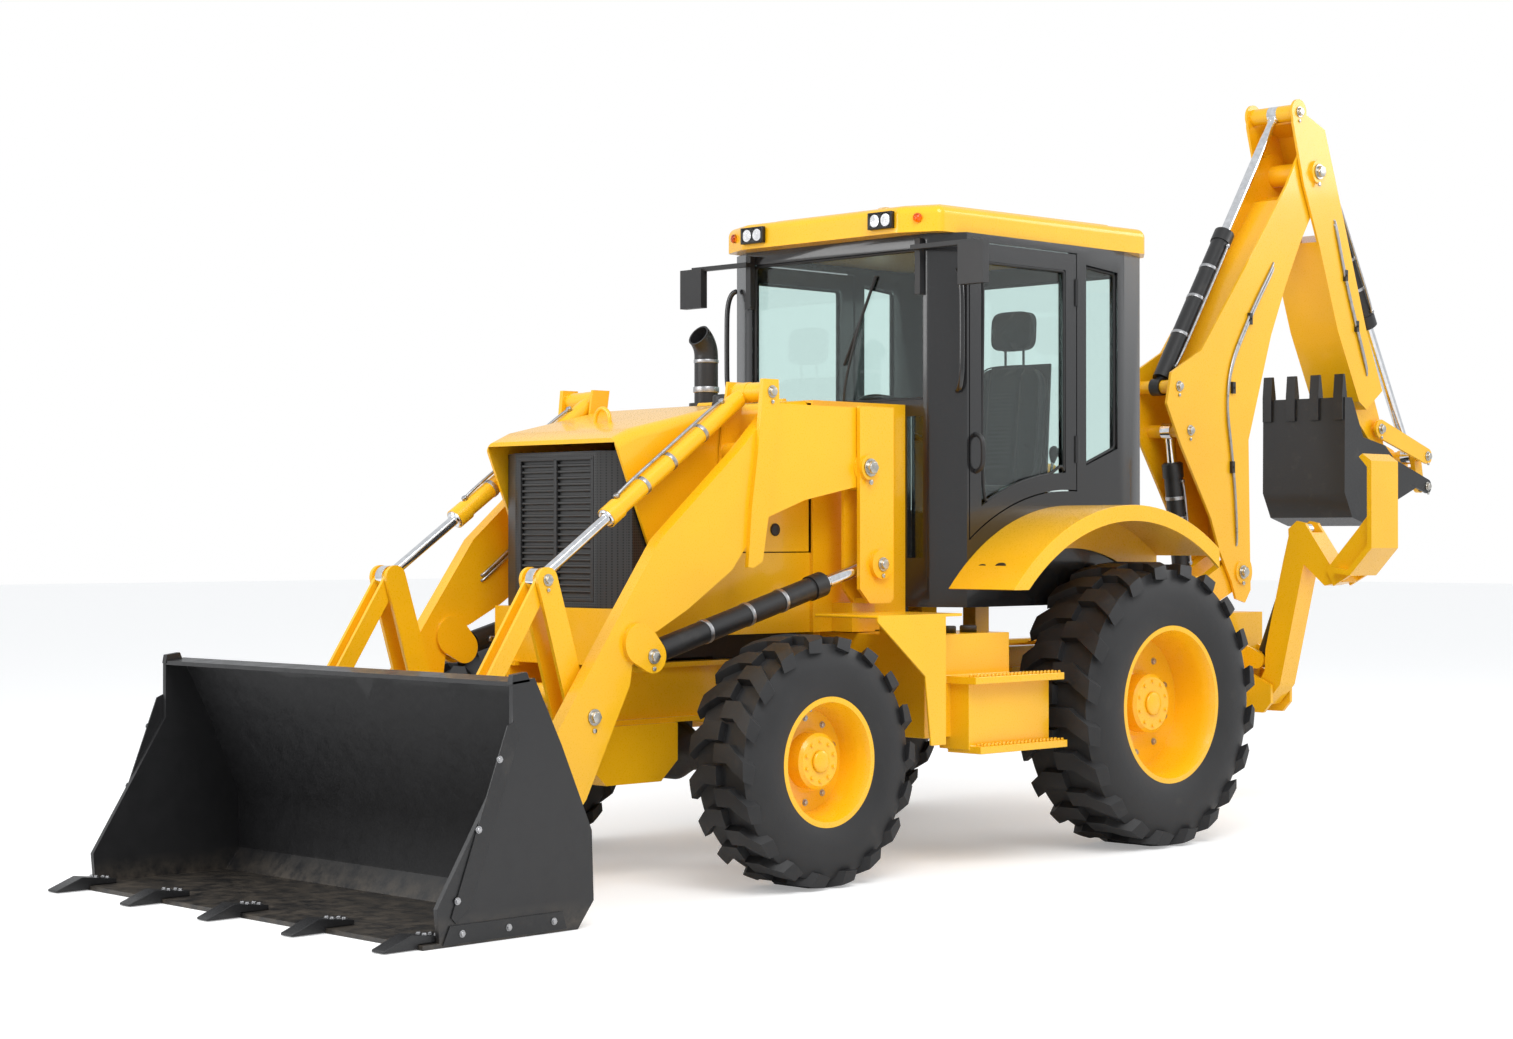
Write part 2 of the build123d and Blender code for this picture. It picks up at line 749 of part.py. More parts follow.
def window_cut(clearance, mode):
    """All fixed panes or their openings; clearance shrinks the panes."""
    c = clearance
    half = screen_half - c
    depth = glass_thickness if mode == Mode.ADD else 3 * cab_wall
    block((cab_front - 25 - depth, -half, 1950 + c), (cab_front - 25 + (depth if mode != Mode.ADD else 0), half, 2600 - c), mode=mode)
    for side in (1, -1):
        low_y, high_y = sorted((side * (430 + c), side * half))
        block(
            (cab_front - 25 - depth, low_y, 1270 + c),
            (cab_front - 25 + (depth if mode != Mode.ADD else 0), high_y, 1880 - c),
            mode=mode,
        )
        thickness = glass_thickness if mode == Mode.ADD else 3 * cab_wall
        with BuildSketch(side_plane(side * (cab_half - 25) + thickness / 2)) as pane:
            with BuildLine():
                Polyline(*quarter_window, close=True)
            make_face()
            if c > 0:
                offset(amount=-c, mode=Mode.REPLACE)
        extrude(pane.sketch, amount=thickness, mode=mode)
    block(
        (cab_rear + 25 - (0 if mode == Mode.ADD else depth), -half, 1480 + c),
        (cab_rear + 25 + depth, half, 2580 - c),
        mode=mode,
    )


with BuildPart() as cab_frame:
    with BuildSketch(top_plane(cab_floor_z)) as plan:
        with BuildLine():
            Polyline(*cab_plan, close=True)
        make_face()
    extrude(plan.sketch, amount=cab_top_z - cab_floor_z)
    with BuildSketch(top_plane(cab_floor_z + 40)) as inside:
        with BuildLine():
            Polyline(*cab_plan, close=True)
        make_face()
        offset(amount=-cab_wall, kind=Kind.INTERSECTION, mode=Mode.REPLACE)
    extrude(inside.sketch, amount=cab_top_z, mode=Mode.SUBTRACT)
    window_cut(0, Mode.SUBTRACT)
    for side in (1, -1):
        door_outline(side * (cab_half - cab_wall / 2) + 60, door_gap, 120, mode=Mode.SUBTRACT)
        for hinge_z in hinge_heights:
            hinge_y = side * cab_half
            upright(door_hinge_x, hinge_y, hinge_z - 31, 62, hinge_radius + side_gap, mode=Mode.SUBTRACT)
            for low in (hinge_z - 60, hinge_z + 30 + seat_gap):
                upright(door_hinge_x, hinge_y, low, 30 - seat_gap, hinge_radius)
save(cab_frame, "cab_frame")

with BuildPart() as cab_glass:
    window_cut(0.3, Mode.ADD)
save(cab_glass, "cab_glass")

for side, side_name in ((1, "left"), (-1, "right")):
    outer_face = side * cab_half
    plane_y = outer_face if side > 0 else outer_face + door_thickness
    with BuildPart() as door:
        door_outline(plane_y, 0, door_thickness)
        door_outline(plane_y + 10, -75, door_thickness + 20, mode=Mode.SUBTRACT)
        for hinge_z in hinge_heights:
            for low in (hinge_z - 61, hinge_z + 30):
                upright(door_hinge_x, outer_face, low, 31, hinge_radius + side_gap, mode=Mode.SUBTRACT)
            upright(door_hinge_x, outer_face, hinge_z - 30, 60, hinge_radius)
    save(door, f"door_{side_name}")
    with BuildPart() as door_glass:
        pane_y = side * (cab_half - door_thickness / 2)
        door_outline(pane_y + glass_thickness / 2, -75.3, glass_thickness)
    save(door_glass, f"door_glass_{side_name}")

roof_plan = (
    (1090, -470),
    (1010, -650),
    (-340, -710),
    (-480, -600),
    (-480, 600),
    (-340, 710),
    (1010, 650),
    (1090, 470),
)
with BuildPart() as roof:
    flat_plate(roof_plan, cab_top_z + 0.3, 115, corner=40)
    fillet(roof.faces().sort_by(Axis.Z)[-1].edges(), 40)
save(roof, "roof")

with BuildPart() as lamps:
    roof_top = cab_top_z + 115.3
    for side in (1, -1):
        block((1090.3, side * 390 - 70, cab_top_z + 20), (1118, side * 390 + 70, cab_top_z + 95))
        block((-508, side * 420 - 70, cab_top_z + 20), (-480.3, side * 420 + 70, cab_top_z + 95))
    upright(480, -150, roof_top + 0.3, 20, 60)
    upright(480, -150, roof_top + 20, 60, 50)
save(lamps, "lamps")

seat_x = -60
with BuildPart() as seat:
    block((seat_x - 200, -230, 1470), (seat_x + 260, 230, 1600))
    back = ((seat_x - 200, 1500), (seat_x - 60, 1560), (seat_x - 130, 2200), (seat_x - 250, 2200))
    side_plate(back, 0, 440, corner=20)
    head = ((seat_x - 240, 2240), (seat_x - 150, 2240), (seat_x - 160, 2440), (seat_x - 240, 2440))
    side_plate(head, 0, 260, corner=20)
    block((seat_x - 215, -60, 2180), (seat_x - 185, 60, 2260))
save(seat, "seat")

floor_top = cab_floor_z + 40
wheel_hub = (560, 1900)
with BuildPart() as controls:
    block((seat_x - 150, -180, floor_top + 0.3), (seat_x + 180, 180, 1469.7))
save(controls, "controls")

with BuildPart() as mirrors:
    block((cab_front + 0.3, 500, 2400), (cab_front + 30, 530, 2640))
    block((cab_front + 29, 500, 2590), (cab_front + 59, 860, 2610))
    block((cab_front + 35, 780, 2420), (cab_front + 75, 920, 2600))
    mirror(about=Plane.XZ)
save(mirrors, "mirrors")

# Loader arms: a plate a side with its lift ears, brackets and the cross tube between them.

arm_outline = (
    (1466, 1570),
    (1466, 1895),
    (1954, 1895),
    (2156, 1704),
    (2585, 1349),
    (2840, 1000),
    (3100, 640),
    (3216, 420),
    (3290, 260),
    (3240, 170),
    (3150, 180),
    (2960, 380),
    (2740, 800),
    (2715, 960),
    (2600, 1000),
    (2440, 1080),
    (2200, 1230),
    (2033, 1428),
    (1787, 1510),
)
cross_tube_centre = (2770, 740)
cross_tube_radius = 50
link_half = link_middle
lever_half_gap = 40
lever_plate = 16
arm_inner = arm_middle - arm_width / 2
arm_outer = arm_middle + arm_width / 2
eye_half = 29
rod_eye_half = 22
pin_radius = 24
ear_thickness = 20
lift_ear_inner = arm_inner - (link_half + lever_half_gap + lever_plate + arm_clearance)
bracket_outer = (
    (1960, 1990),
    (2045, 1990),
    (2075, 1700),
    (2110, 1478),
    (2130, 1240),
    (2100, 1238),
    (2050, 1262),
    (2010, 1478),
    (1955, 1900),
)
bracket_inner = ((1950, 1985), (2045, 1985), (2085, 1720), (2090, 1640), (2015, 1640), (1985, 1760))
with BuildPart() as loader_arms:
    side_plate(arm_outline, arm_middle, arm_width)
    side_boss(arm_pivot, arm_middle, arm_width, 95)
    bar(lever_pivot, lever_pivot, 70, 70, arm_middle, arm_width)
    bar(lift_pin, (2700, 955), 65, 80, arm_inner - lift_ear_inner / 2, lift_ear_inner)
    bar(lift_pin, (2700, 955), 65, 80, arm_outer + ear_thickness / 2, ear_thickness)
    side_plate(bracket_outer, arm_outer + ear_thickness / 2, ear_thickness)
    side_plate(bracket_inner, hood_half + 12, 12)
    side_boss((2045, 1700), (hood_half + 17 + arm_inner) / 2, arm_inner - hood_half - 17, 40)
    side_boss(tilt_base, (hood_half + 17 + link_half - 33 - side_gap) / 2, link_half - 50 - side_gap - hood_half, 40)
    eye_face = link_half + 33 + side_gap
    side_boss(tilt_base, (eye_face + arm_outer + 1) / 2, arm_outer + 1 - eye_face, 40)
    hub_low = link_half + rod_eye_half
    side_boss(lever_pivot, (link_half + 57 + arm_inner) / 2, arm_inner - link_half - 57, 45)
    side_boss(cross_tube_centre, arm_inner / 2, arm_inner, cross_tube_radius)
    mirror(about=Plane.XZ)
save(loader_arms, "loader_arms")

# Front bucket: bent shell, two cheeks, cutting edge, ribs and the ears for arms and links.

link_pin = (
    bucket_pivot[0] + knee_pin[0] - lever_pivot[0],
    bucket_pivot[1] + knee_pin[1] - lever_pivot[1],
)
shell_line = (
    (3718, 868),
    (3621, 878),
    (3500, 643),
    (3362, 339),
    (3353, 94),
    (3426, 0),
    (4100, 0),
)
cheek_outline = (
    (3718, 868),
    (3621, 878),
    (3500, 643),
    (3362, 339),
    (3353, 94),
    (3426, 0),
    (4029, 0),
    (4041, 129),
    (3903, 348),
    (3718, 645),
)


def shell_strip(points, thickness, y, width, inner_side=Side.LEFT):
    """Bent plate of even thickness whose outer face follows the points."""
    with BuildSketch(side_plane(y + width / 2)) as strip:
        with BuildLine():
            Polyline(*points)
            offset(amount=thickness, side=inner_side, kind=Kind.INTERSECTION)
        make_face()
    extrude(strip.sketch, amount=width)


with BuildPart() as front_bucket:
    shell_strip(shell_line, bucket_wall, 0, 2 * bucket_half)
    for side in (1, -1):
        side_plate(cheek_outline, side * (bucket_half - 10), 20)
        for ear_y in (arm_inner - side_gap * 10 - 10, arm_outer + side_gap * 10 + 10):
            ear = ((3250, 330), (3380, 520), (3440, 500), (3372, 345), (3366, 250), (3354, 100), (3290, 170))
            side_plate(ear, side * ear_y, 20)
            side_boss(bucket_pivot, side * ear_y, 20, 85)
        link_ear = ((3335, 770), (3400, 800), (3580, 780), (3510, 643), (3450, 512), (3400, 600))
        side_plate(link_ear, side * link_half, 2 * rod_eye_half)
        side_boss(link_pin, side * link_half, 2 * rod_eye_half, 40)
save(front_bucket, "front_bucket")

tooth_count = 5
tooth_profile = (
    (3980, bucket_wall + side_gap),
    (4100 + side_gap, bucket_wall + side_gap),
    (4100 + side_gap, 2),
    (tooth_tip_x, 2),
    (tooth_tip_x, 10),
    (4130, 52),
    (3980, 34),
)
with BuildPart() as bucket_teeth:
    for index in range(tooth_count):
        share = index / (tooth_count - 1) * 2 - 1
        side_plate(tooth_profile, share * (bucket_half - 58), 70)
save(bucket_teeth, "bucket_teeth")

# Tip levers swing on the arms and lie parallel to the bucket; the links join them to its ears.

with BuildPart() as tip_levers:
    for plate_y in (link_half - lever_half_gap - lever_plate / 2, link_half + lever_half_gap + lever_plate / 2):
        bar(lever_pivot, knee_pin, 52, 48, plate_y, lever_plate)
    side_boss(lever_pivot, link_half, 2 * lever_half_gap, 28)
    side_boss(lever_pivot, link_half - lever_half_gap - lever_plate, 12, 40)
    for pin_y in (link_half - 39.25, link_half + 39.25):
        side_boss(knee_pin, pin_y, 2.5, 30)
    mirror(about=Plane.XZ)
save(tip_levers, "tip_levers")

with BuildPart() as bucket_links:
    for plate_y in (link_half - 30, link_half + 30):
        bar(knee_pin, link_pin, 34, 34, plate_y, 15)
    mirror(about=Plane.XZ)
save(bucket_links, "bucket_links")


def barrel(base, tip, y, radius, start, gland, rod_radius, eye_radius, half):
    """Cylinder barrel with its base eye at base, bored for the rod from beyond its base wall."""
    tube(base, tip, y, half - 1, 0, start + 2)
    side_boss(base, y, 2 * half, eye_radius)
    tube(base, tip, y, radius, start, gland)
    tube(base, tip, y, radius + 6, gland - 70, gland)
    tube(base, tip, y, rod_radius + side_gap, start + 12, gland + 1, mode=Mode.SUBTRACT)


def piston_rod(base, tip, y, rod_radius, first, eye_radius, half, sleeve, sleeve_radius):
    """Rod from first along the line to its eye at tip, with a sleeve next to the eye."""
    reach = distance(base, tip)
    tube(base, tip, y, rod_radius, first, reach)
    tube(base, tip, y, sleeve_radius, reach - sleeve, reach)
    side_boss(tip, y, 2 * half, eye_radius)


tilt_radius = 36
tilt_rod_radius = 21
tilt_gland = 900
tilt_start = 48
with BuildPart() as tilt_barrels:
    barrel(tilt_base, knee_pin, link_half, tilt_radius, tilt_start, tilt_gland, tilt_rod_radius, 42, 33)
    mirror(about=Plane.XZ)
save(tilt_barrels, "tilt_barrels")
with BuildPart() as tilt_rods:
    piston_rod(tilt_base, knee_pin, link_half, tilt_rod_radius, 382, 46, rod_eye_half, 60, rod_eye_half - 1)
    mirror(about=Plane.XZ)
save(tilt_rods, "tilt_rods")

lift_radius = 46
lift_rod_radius = 26
lift_gland = 1010
lift_start = 72
with BuildPart() as lift_barrels:
    barrel(lift_pin, lift_base, arm_middle, lift_radius, lift_start, lift_gland, lift_rod_radius, 46, eye_half + 1 - seat_gap)
    mirror(about=Plane.XZ)
save(lift_barrels, "lift_barrels")
with BuildPart() as lift_rods:
    piston_rod(lift_pin, lift_base, arm_middle, lift_rod_radius, 92, 44, eye_half + 1 - seat_gap, 270, eye_half - 1)
    mirror(about=Plane.XZ)
save(lift_rods, "lift_rods")

# Swing post: turns in the rear frame and carries the boom and its cylinder.

post_clearance = 5
post_ear_inner = 60
post_ear_outer = 110
with BuildPart() as swing_post:
    low = post_low_z + lug_plate + post_clearance
    top = post_top_z - lug_plate - post_clearance
    upright(swing_x, 0, low, top - low, post_radius)
    upright(swing_x, 0, top - 1, post_top_z + post_clearance + 2 - top, neck_radius)
    upright(swing_x, 0, post_low_z + 1, low - post_low_z, neck_radius)
    head_low = post_top_z + post_clearance
    head = (
        (swing_x + 95, head_low),
        (swing_x + 95, head_low + 60),
        (boom_cylinder_base[0] + 40, boom_cylinder_base[1] + 60),
        (boom_cylinder_base[0] - 60, boom_cylinder_base[1] + 60),
        (boom_pivot[0] + 70, boom_pivot[1] + 70),
        (boom_pivot[0], boom_pivot[1] + 95),
        (boom_pivot[0] - 95, boom_pivot[1]),
        (boom_pivot[0] + 20, boom_pivot[1] - 90),
        (swing_x - 110, head_low),
    )
    side_plate(head, 0, 2 * post_ear_outer)
    upright(swing_x, 0, head_low, 30, post_ear_outer)
    ear_space = (
        (boom_cylinder_base[0] + 60, boom_cylinder_base[1] - 60),
        (boom_cylinder_base[0] + 60, 1500),
        (-2300, 1500),
        (-2300, head_low),
        (boom_cylinder_base[0] - 90, boom_cylinder_base[1] - 60),
    )
    side_plate(ear_space, 0, 2 * post_ear_inner, mode=Mode.SUBTRACT)
    for side in (1, -1):
        side_boss(boom_cylinder_base, side * (eye_half + side_gap + post_ear_inner) / 2 + side * 0.5, post_ear_inner - eye_half - side_gap + 1, 30)
        side_boss(boom_pivot, side * (post_ear_outer + 2.5), 5, 60)
save(swing_post, "swing_post")

# Boom: two tall cheeks, a boxed back and the open front where its cylinder lies.

boom_outline = (
    (-1860, 1130),
    (-1760, 1280),
    (-1680, 1455),
    (-1560, 1630),
    (-1420, 1830),
    (-1304, 2030),
    (-1343, 2188),
    (-1599, 2311),
    (-1997, 2773),
    (-2366, 3223),
    (-2480, 3400),
    (-2660, 3440),
    (-2745, 3330),
    (-2700, 3230),
    (-2500, 2940),
    (-2360, 2700),
    (-2220, 2420),
    (-2013, 1864),
    (-2025, 1300),
    (-2030, 1085),
    (-1980, 1020),
    (-1900, 1040),
)
boom_core = (
    (-2024, 1300),
    (-2006, 1300),
    (-1990, 1860),
    (-1800, 2140),
    (-1700, 2220),
    (-2040, 2700),
    (-2420, 3160),
    (-2560, 3200),
    (-2660, 3171),
    (-2500, 2940),
    (-2360, 2700),
    (-2220, 2420),
    (-2013, 1864),
)
with BuildPart() as boom:
    for side in (1, -1):
        cheek_y = side * (boom_half - boom_wall / 2)
        side_plate(boom_outline, cheek_y, boom_wall)
        side_boss(dipper_pivot, cheek_y, boom_wall, 125)
        side_boss(boom_pivot, cheek_y, boom_wall, 95)
        side_boss(boom_pivot, side * (boom_half + 4), 10, 60)
        for pin in (horn_pin, boom_cylinder_pin):
            inner_y = eye_half + side_gap
            side_boss(pin, side * (inner_y + boom_half - 1) / 2, boom_half - 1 - inner_y, 34)
    side_plate(boom_core, 0, 2 * (boom_half - boom_wall + 1))
    side_boss(dipper_pivot, 0, 2 * (boom_half - boom_wall + 1), 60)
save(boom, "boom")

# Dipper: fork round the boom's end, boxed arm below it, ears for the bucket cylinder.

dipper_wall = 14
dipper_outline = (
    (-2560, 3600),
    (-2701, 3552),
    (-2800, 3300),
    (-3108, 2496),
    (-3270, 2168),
    (-3108, 2060),
    (-3035, 2100),
    (-2823, 2480),
    (-2640, 2940),
    (-2500, 3240),
    (-2400, 3560),
    (-2400, 3650),
)
dipper_end = (
    (-3108, 2300),
    (-3210, 2290),
    (-3325, 2056),
    (-3370, 1960),
    (-3398, 1790),
    (-3332, 1725),
    (-3268, 1770),
    (-3235, 1900),
    (-3065, 2047),
    (-2960, 2240),
)
fork_space = (
    (-2660, 2945),
    (-2920, 3020),
    (-2690, 3535),
    (-2560, 3585),
    (-2520, 3700),
    (-2300, 3700),
    (-2300, 2945),
)
with BuildPart() as dipper:
    side_plate(dipper_outline, 0, 2 * dipper_half)
    side_boss(dipper_top_pin, 0, 2 * dipper_half, 68)
    side_boss(dipper_pivot, 0, 2 * dipper_half, 135)
    side_plate(fork_space, 0, 2 * (dipper_half - dipper_wall), mode=Mode.SUBTRACT)
    side_boss(dipper_pivot, 0, 2 * (dipper_half - dipper_wall), 150, mode=Mode.SUBTRACT)
    side_plate(dipper_end, 0, 2 * hoe_end_half)
    for side in (1, -1):
        inner_y = eye_half + side_gap
        outer_y = dipper_half - 1
        side_boss(dipper_top_pin, side * (inner_y + outer_y) / 2, outer_y - inner_y, 44)
        ear_y = side * (inner_y + 10)
        bar(bucket_cylinder_base, (-2815, 3320), 50, 50, ear_y, 20)
        side_boss(dipper_end_pin, side * (hoe_end_half + 12), 25, 27)
        side_boss(dipper_pivot, side * (dipper_half + 8), 18, 62)
save(dipper, "dipper")

# Hoe bucket with its yellow hanger plates, cutters and four teeth.

hanger_reach = (lever_tip_pin[0] - dipper_end_pin[0], lever_tip_pin[1] - dipper_end_pin[1])
hoe_link_pin = (hoe_bucket_pin[0] + hanger_reach[0], hoe_bucket_pin[1] + hanger_reach[1])
hoe_shell = (
    (-2720, 2110),
    (-2715, 1600),
    (-2790, 1465),
    (-2960, 1420),
    (-3140, 1480),
    (-3235, 1640),
    (-3200, 1800),
)
hoe_cheek = (
    (-2720, 2110),
    (-2715, 1600),
    (-2790, 1465),
    (-2960, 1420),
    (-3140, 1480),
    (-3235, 1640),
    (-3200, 1800),
    (-3120, 1860),
    (-2900, 1900),
    (-2790, 2110),
)
hoe_tooth = ((-2700, 1990), (-2699, 2110), (-2716, 2235), (-2732, 2235), (-2760, 2110), (-2733.5, 1990))
hanger_plate = 15
hoe_tooth_count = 4
with BuildPart() as hoe_bucket:
    shell_strip(hoe_shell, 14, 0, 2 * hoe_bucket_half, Side.RIGHT)
    for side in (1, -1):
        side_plate(hoe_cheek, side * (hoe_bucket_half - 7), 14)
    for index in range(hoe_tooth_count):
        share = index / (hoe_tooth_count - 1) * 2 - 1
        side_plate(((-2704, 1990), (-2704, 2125), (-2716, 2235), (-2732, 2235), (-2750, 2125), (-2746, 1990)), share * (hoe_bucket_half - 35), 56)
    for side in (1, -1):
        plate_y = side * (hoe_end_half + 5 + hanger_plate / 2)
        bar(hoe_bucket_pin, hoe_link_pin, 45, 40, plate_y, hanger_plate)
        hanger = ((-3330, 1745), (-3700, 1640), (-3560, 1590), (-3300, 1500), (-3130, 1490), (-3228, 1650), (-3270, 1748))
        side_plate(hanger, plate_y, hanger_plate)
        inner_y = 60.5
        outer_y = hoe_end_half + 6
        side_boss(hoe_link_pin, side * (inner_y + outer_y) / 2, outer_y - inner_y, 30)
save(hoe_bucket, "hoe_bucket")

lever_plate_y = hoe_end_half + 5 + hanger_plate + 5 + 8
with BuildPart() as tipping_lever:
    for side in (1, -1):
        bar(dipper_end_pin, lever_tip_pin, 52, 44, side * lever_plate_y, 16)
        inner_y = 60.5
        outer_y = lever_plate_y - 7
        side_boss(lever_tip_pin, side * (inner_y + outer_y) / 2, outer_y - inner_y, 28)
save(tipping_lever, "tipping_lever")

with BuildPart() as hoe_link:
    for side in (1, -1):
        bar(lever_tip_pin, hoe_link_pin, 36, 36, side * 45.5, 29)
    bar(between(lever_tip_pin, hoe_link_pin, 0.45), between(lever_tip_pin, hoe_link_pin, 0.7), 18, 18, 0, 64)
save(hoe_link, "hoe_link")

# Backhoe cylinders.

hoe_radius = 48
hoe_rod_radius = 26
with BuildPart() as boom_barrel:
    barrel(boom_cylinder_base, boom_cylinder_pin, 0, hoe_radius, 48, 640, hoe_rod_radius, 44, eye_half)
save(boom_barrel, "boom_barrel")
with BuildPart() as boom_rod:
    piston_rod(boom_cylinder_base, boom_cylinder_pin, 0, hoe_rod_radius, 66, 44, eye_half, 60, eye_half - 1)
save(boom_rod, "boom_rod")
with BuildPart() as dipper_barrel:
    barrel(horn_pin, dipper_top_pin, 0, hoe_radius, 48, 1010, hoe_rod_radius, 44, eye_half)
save(dipper_barrel, "dipper_barrel")
with BuildPart() as dipper_rod:
    piston_rod(horn_pin, dipper_top_pin, 0, hoe_rod_radius, 500, 44, eye_half, 60, eye_half - 1)
save(dipper_rod, "dipper_rod")
with BuildPart() as crowd_barrel:
    barrel(bucket_cylinder_base, lever_tip_pin, 0, hoe_radius, 58, 950, hoe_rod_radius, 44, eye_half)
save(crowd_barrel, "hoe_bucket_barrel")
with BuildPart() as crowd_rod:
    piston_rod(bucket_cylinder_base, lever_tip_pin, 0, hoe_rod_radius, 790, 44, eye_half, 60, eye_half - 1)
save(crowd_rod, "hoe_bucket_rod")

# Stabiliser legs with their street pads, and a cylinder for each.

leg_half = 66
pad_half = 120
leg_profile = (
    (leg_pivot[0] - 48, leg_pivot[1] - 10),
    (leg_pivot[0] + 30, leg_pivot[1] - 48),
    (540, 620),
    (680, 1225),
    (800, 1120),
    (905, 1140),
    (905, 1190),
    (850, 1200),
    (690, 1425),
    (640, 1440),
    (600, 1395),
    (560, 1240),
    (455, 800),
    (450, 690),
)
pad_sole = (
    (880, 1185),
    (977, 1171),
    (1100, 1306),
    (1100, 1729),
    (1050, 1765),
    (1030, 1750),
    (1075, 1700),
    (1075, 1320),
    (965, 1200),
    (890, 1210),
)
pad_cheek = ((860, 1120), (977, 1185), (1085, 1310), (1085, 1500), (1000, 1400), (820, 1200))
leg_barrel_radius = 38
leg_rod_radius = 22
for side, side_name in ((1, "left"), (-1, "right")):
    with BuildPart() as leg:
        cross_plate(leg_profile, leg_x, 2 * leg_half)
        cross_boss(leg_pivot, leg_x, 2 * (leg_lug - plate_wall / 2 - seat_gap), 48)
        slot = ((300, 640), (300, 1500), (720, 1500), (720, 1380), (640, 1225), (500, 640))
        cross_plate(slot, leg_x, 92, mode=Mode.SUBTRACT)
        for cheek_x in (leg_x - 56, leg_x + 56):
            cross_plate(((600, 1240), (590, 1400), (640, 1440), (690, 1430), (700, 1240)), cheek_x, 20)
        for pin_x in (leg_x - 35, leg_x + 35):
            cross_boss(leg_cylinder_pin, pin_x, 24, 24)
        cross_plate(pad_sole, leg_x, 2 * pad_half)
        for cheek_x in (leg_x - leg_half - 8, leg_x + leg_half + 8):
            cross_plate(pad_cheek, cheek_x, 16)
        if side < 0:
            mirror(about=Plane.XZ, mode=Mode.REPLACE)
    save(leg, f"leg_{side_name}")
    with BuildPart() as leg_barrel:
        cross_tube(leg_cylinder_base, leg_cylinder_pin, leg_x, 20, 0, 46)
        cross_boss(leg_cylinder_base, leg_x, 2 * (leg_eye_half - seat_gap), 34)
        cross_tube(leg_cylinder_base, leg_cylinder_pin, leg_x, leg_barrel_radius, 44, 520)
        cross_tube(leg_cylinder_base, leg_cylinder_pin, leg_x, leg_rod_radius + side_gap, 56, 521, mode=Mode.SUBTRACT)
        if side < 0:
            mirror(about=Plane.XZ, mode=Mode.REPLACE)
    save(leg_barrel, f"leg_barrel_{side_name}")
    with BuildPart() as leg_rod:
        reach = distance(leg_cylinder_base, leg_cylinder_pin)
        cross_tube(leg_cylinder_base, leg_cylinder_pin, leg_x, leg_rod_radius, 62, reach)
        cross_boss(leg_cylinder_pin, leg_x, 2 * (23 - seat_gap), 36)
        if side < 0:
            mirror(about=Plane.XZ, mode=Mode.REPLACE)
    save(leg_rod, f"leg_rod_{side_name}")
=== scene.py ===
import bpy
import bmesh
import math
from mathutils import Matrix, Vector


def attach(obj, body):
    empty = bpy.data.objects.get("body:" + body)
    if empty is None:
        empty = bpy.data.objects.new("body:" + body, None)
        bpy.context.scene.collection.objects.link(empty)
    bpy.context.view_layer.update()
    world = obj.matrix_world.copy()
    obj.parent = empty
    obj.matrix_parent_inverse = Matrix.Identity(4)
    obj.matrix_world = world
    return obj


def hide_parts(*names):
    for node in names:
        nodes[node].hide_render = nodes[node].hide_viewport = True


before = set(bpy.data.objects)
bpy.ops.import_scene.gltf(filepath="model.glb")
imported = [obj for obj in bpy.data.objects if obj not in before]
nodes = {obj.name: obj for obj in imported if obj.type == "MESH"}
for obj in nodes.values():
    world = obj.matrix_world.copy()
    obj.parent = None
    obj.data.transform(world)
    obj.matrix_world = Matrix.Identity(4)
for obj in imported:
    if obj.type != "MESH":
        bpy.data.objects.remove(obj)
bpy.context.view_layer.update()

rearAxle = -0.17  # the rear axle's place along the machine, from which most pieces are measured
print("backhoe loader: frame loaded,", len(nodes), "nodes")

# camera, at the photograph's place

cameraSetup = {"place": (9.215, 7.956, 1.36), "yaw": -134.859, "pitch": 0.384, "lens": 62.18}
camData = bpy.data.cameras.new("photoCamera")
camData.lens = cameraSetup["lens"]
camData.sensor_width = 36.0
camData.clip_end = 200.0
camObject = bpy.data.objects.new("photoCamera", camData)
bpy.context.scene.collection.objects.link(camObject)
yaw = math.radians(cameraSetup["yaw"])
pitch = math.radians(cameraSetup["pitch"])
lookAlong = Vector((math.cos(pitch) * math.cos(yaw), math.cos(pitch) * math.sin(yaw), math.sin(pitch)))
camObject.location = cameraSetup["place"]
camObject.rotation_euler = lookAlong.to_track_quat("-Z", "Y").to_euler()
bpy.context.scene.camera = camObject

# soft studio light, white surroundings and a pale floor

studio = {
    "world": 0.75, "keyPower": 620, "fillPower": 260, "rimPower": 240, "floorTone": 0.86,
    "floorLift": 0.30
}
bpy.context.scene.view_settings.view_transform = "Standard"
world = bpy.data.worlds.new("studioWorld")
bpy.context.scene.world = world
world.use_nodes = True
worldTree = world.node_tree
worldTree.nodes.clear()
worldOut = worldTree.nodes.new("ShaderNodeOutputWorld")
seenBackground = worldTree.nodes.new("ShaderNodeBackground")
seenBackground.inputs["Color"].default_value = (1, 1, 1, 1)
seenBackground.inputs["Strength"].default_value = 1.0
lightBackground = worldTree.nodes.new("ShaderNodeBackground")
lightBackground.inputs["Color"].default_value = (0.96, 0.98, 1, 1)
lightBackground.inputs["Strength"].default_value = studio["world"]
lightPath = worldTree.nodes.new("ShaderNodeLightPath")
seenBy = worldTree.nodes.new("ShaderNodeMath")
seenBy.operation = "MAXIMUM"
worldTree.links.new(lightPath.outputs["Is Camera Ray"], seenBy.inputs[0])
worldTree.links.new(lightPath.outputs["Is Transmission Ray"], seenBy.inputs[1])
worldMix = worldTree.nodes.new("ShaderNodeMixShader")
worldTree.links.new(seenBy.outputs[0], worldMix.inputs["Fac"])
worldTree.links.new(lightBackground.outputs[0], worldMix.inputs[1])
worldTree.links.new(seenBackground.outputs[0], worldMix.inputs[2])
worldTree.links.new(worldMix.outputs[0], worldOut.inputs["Surface"])


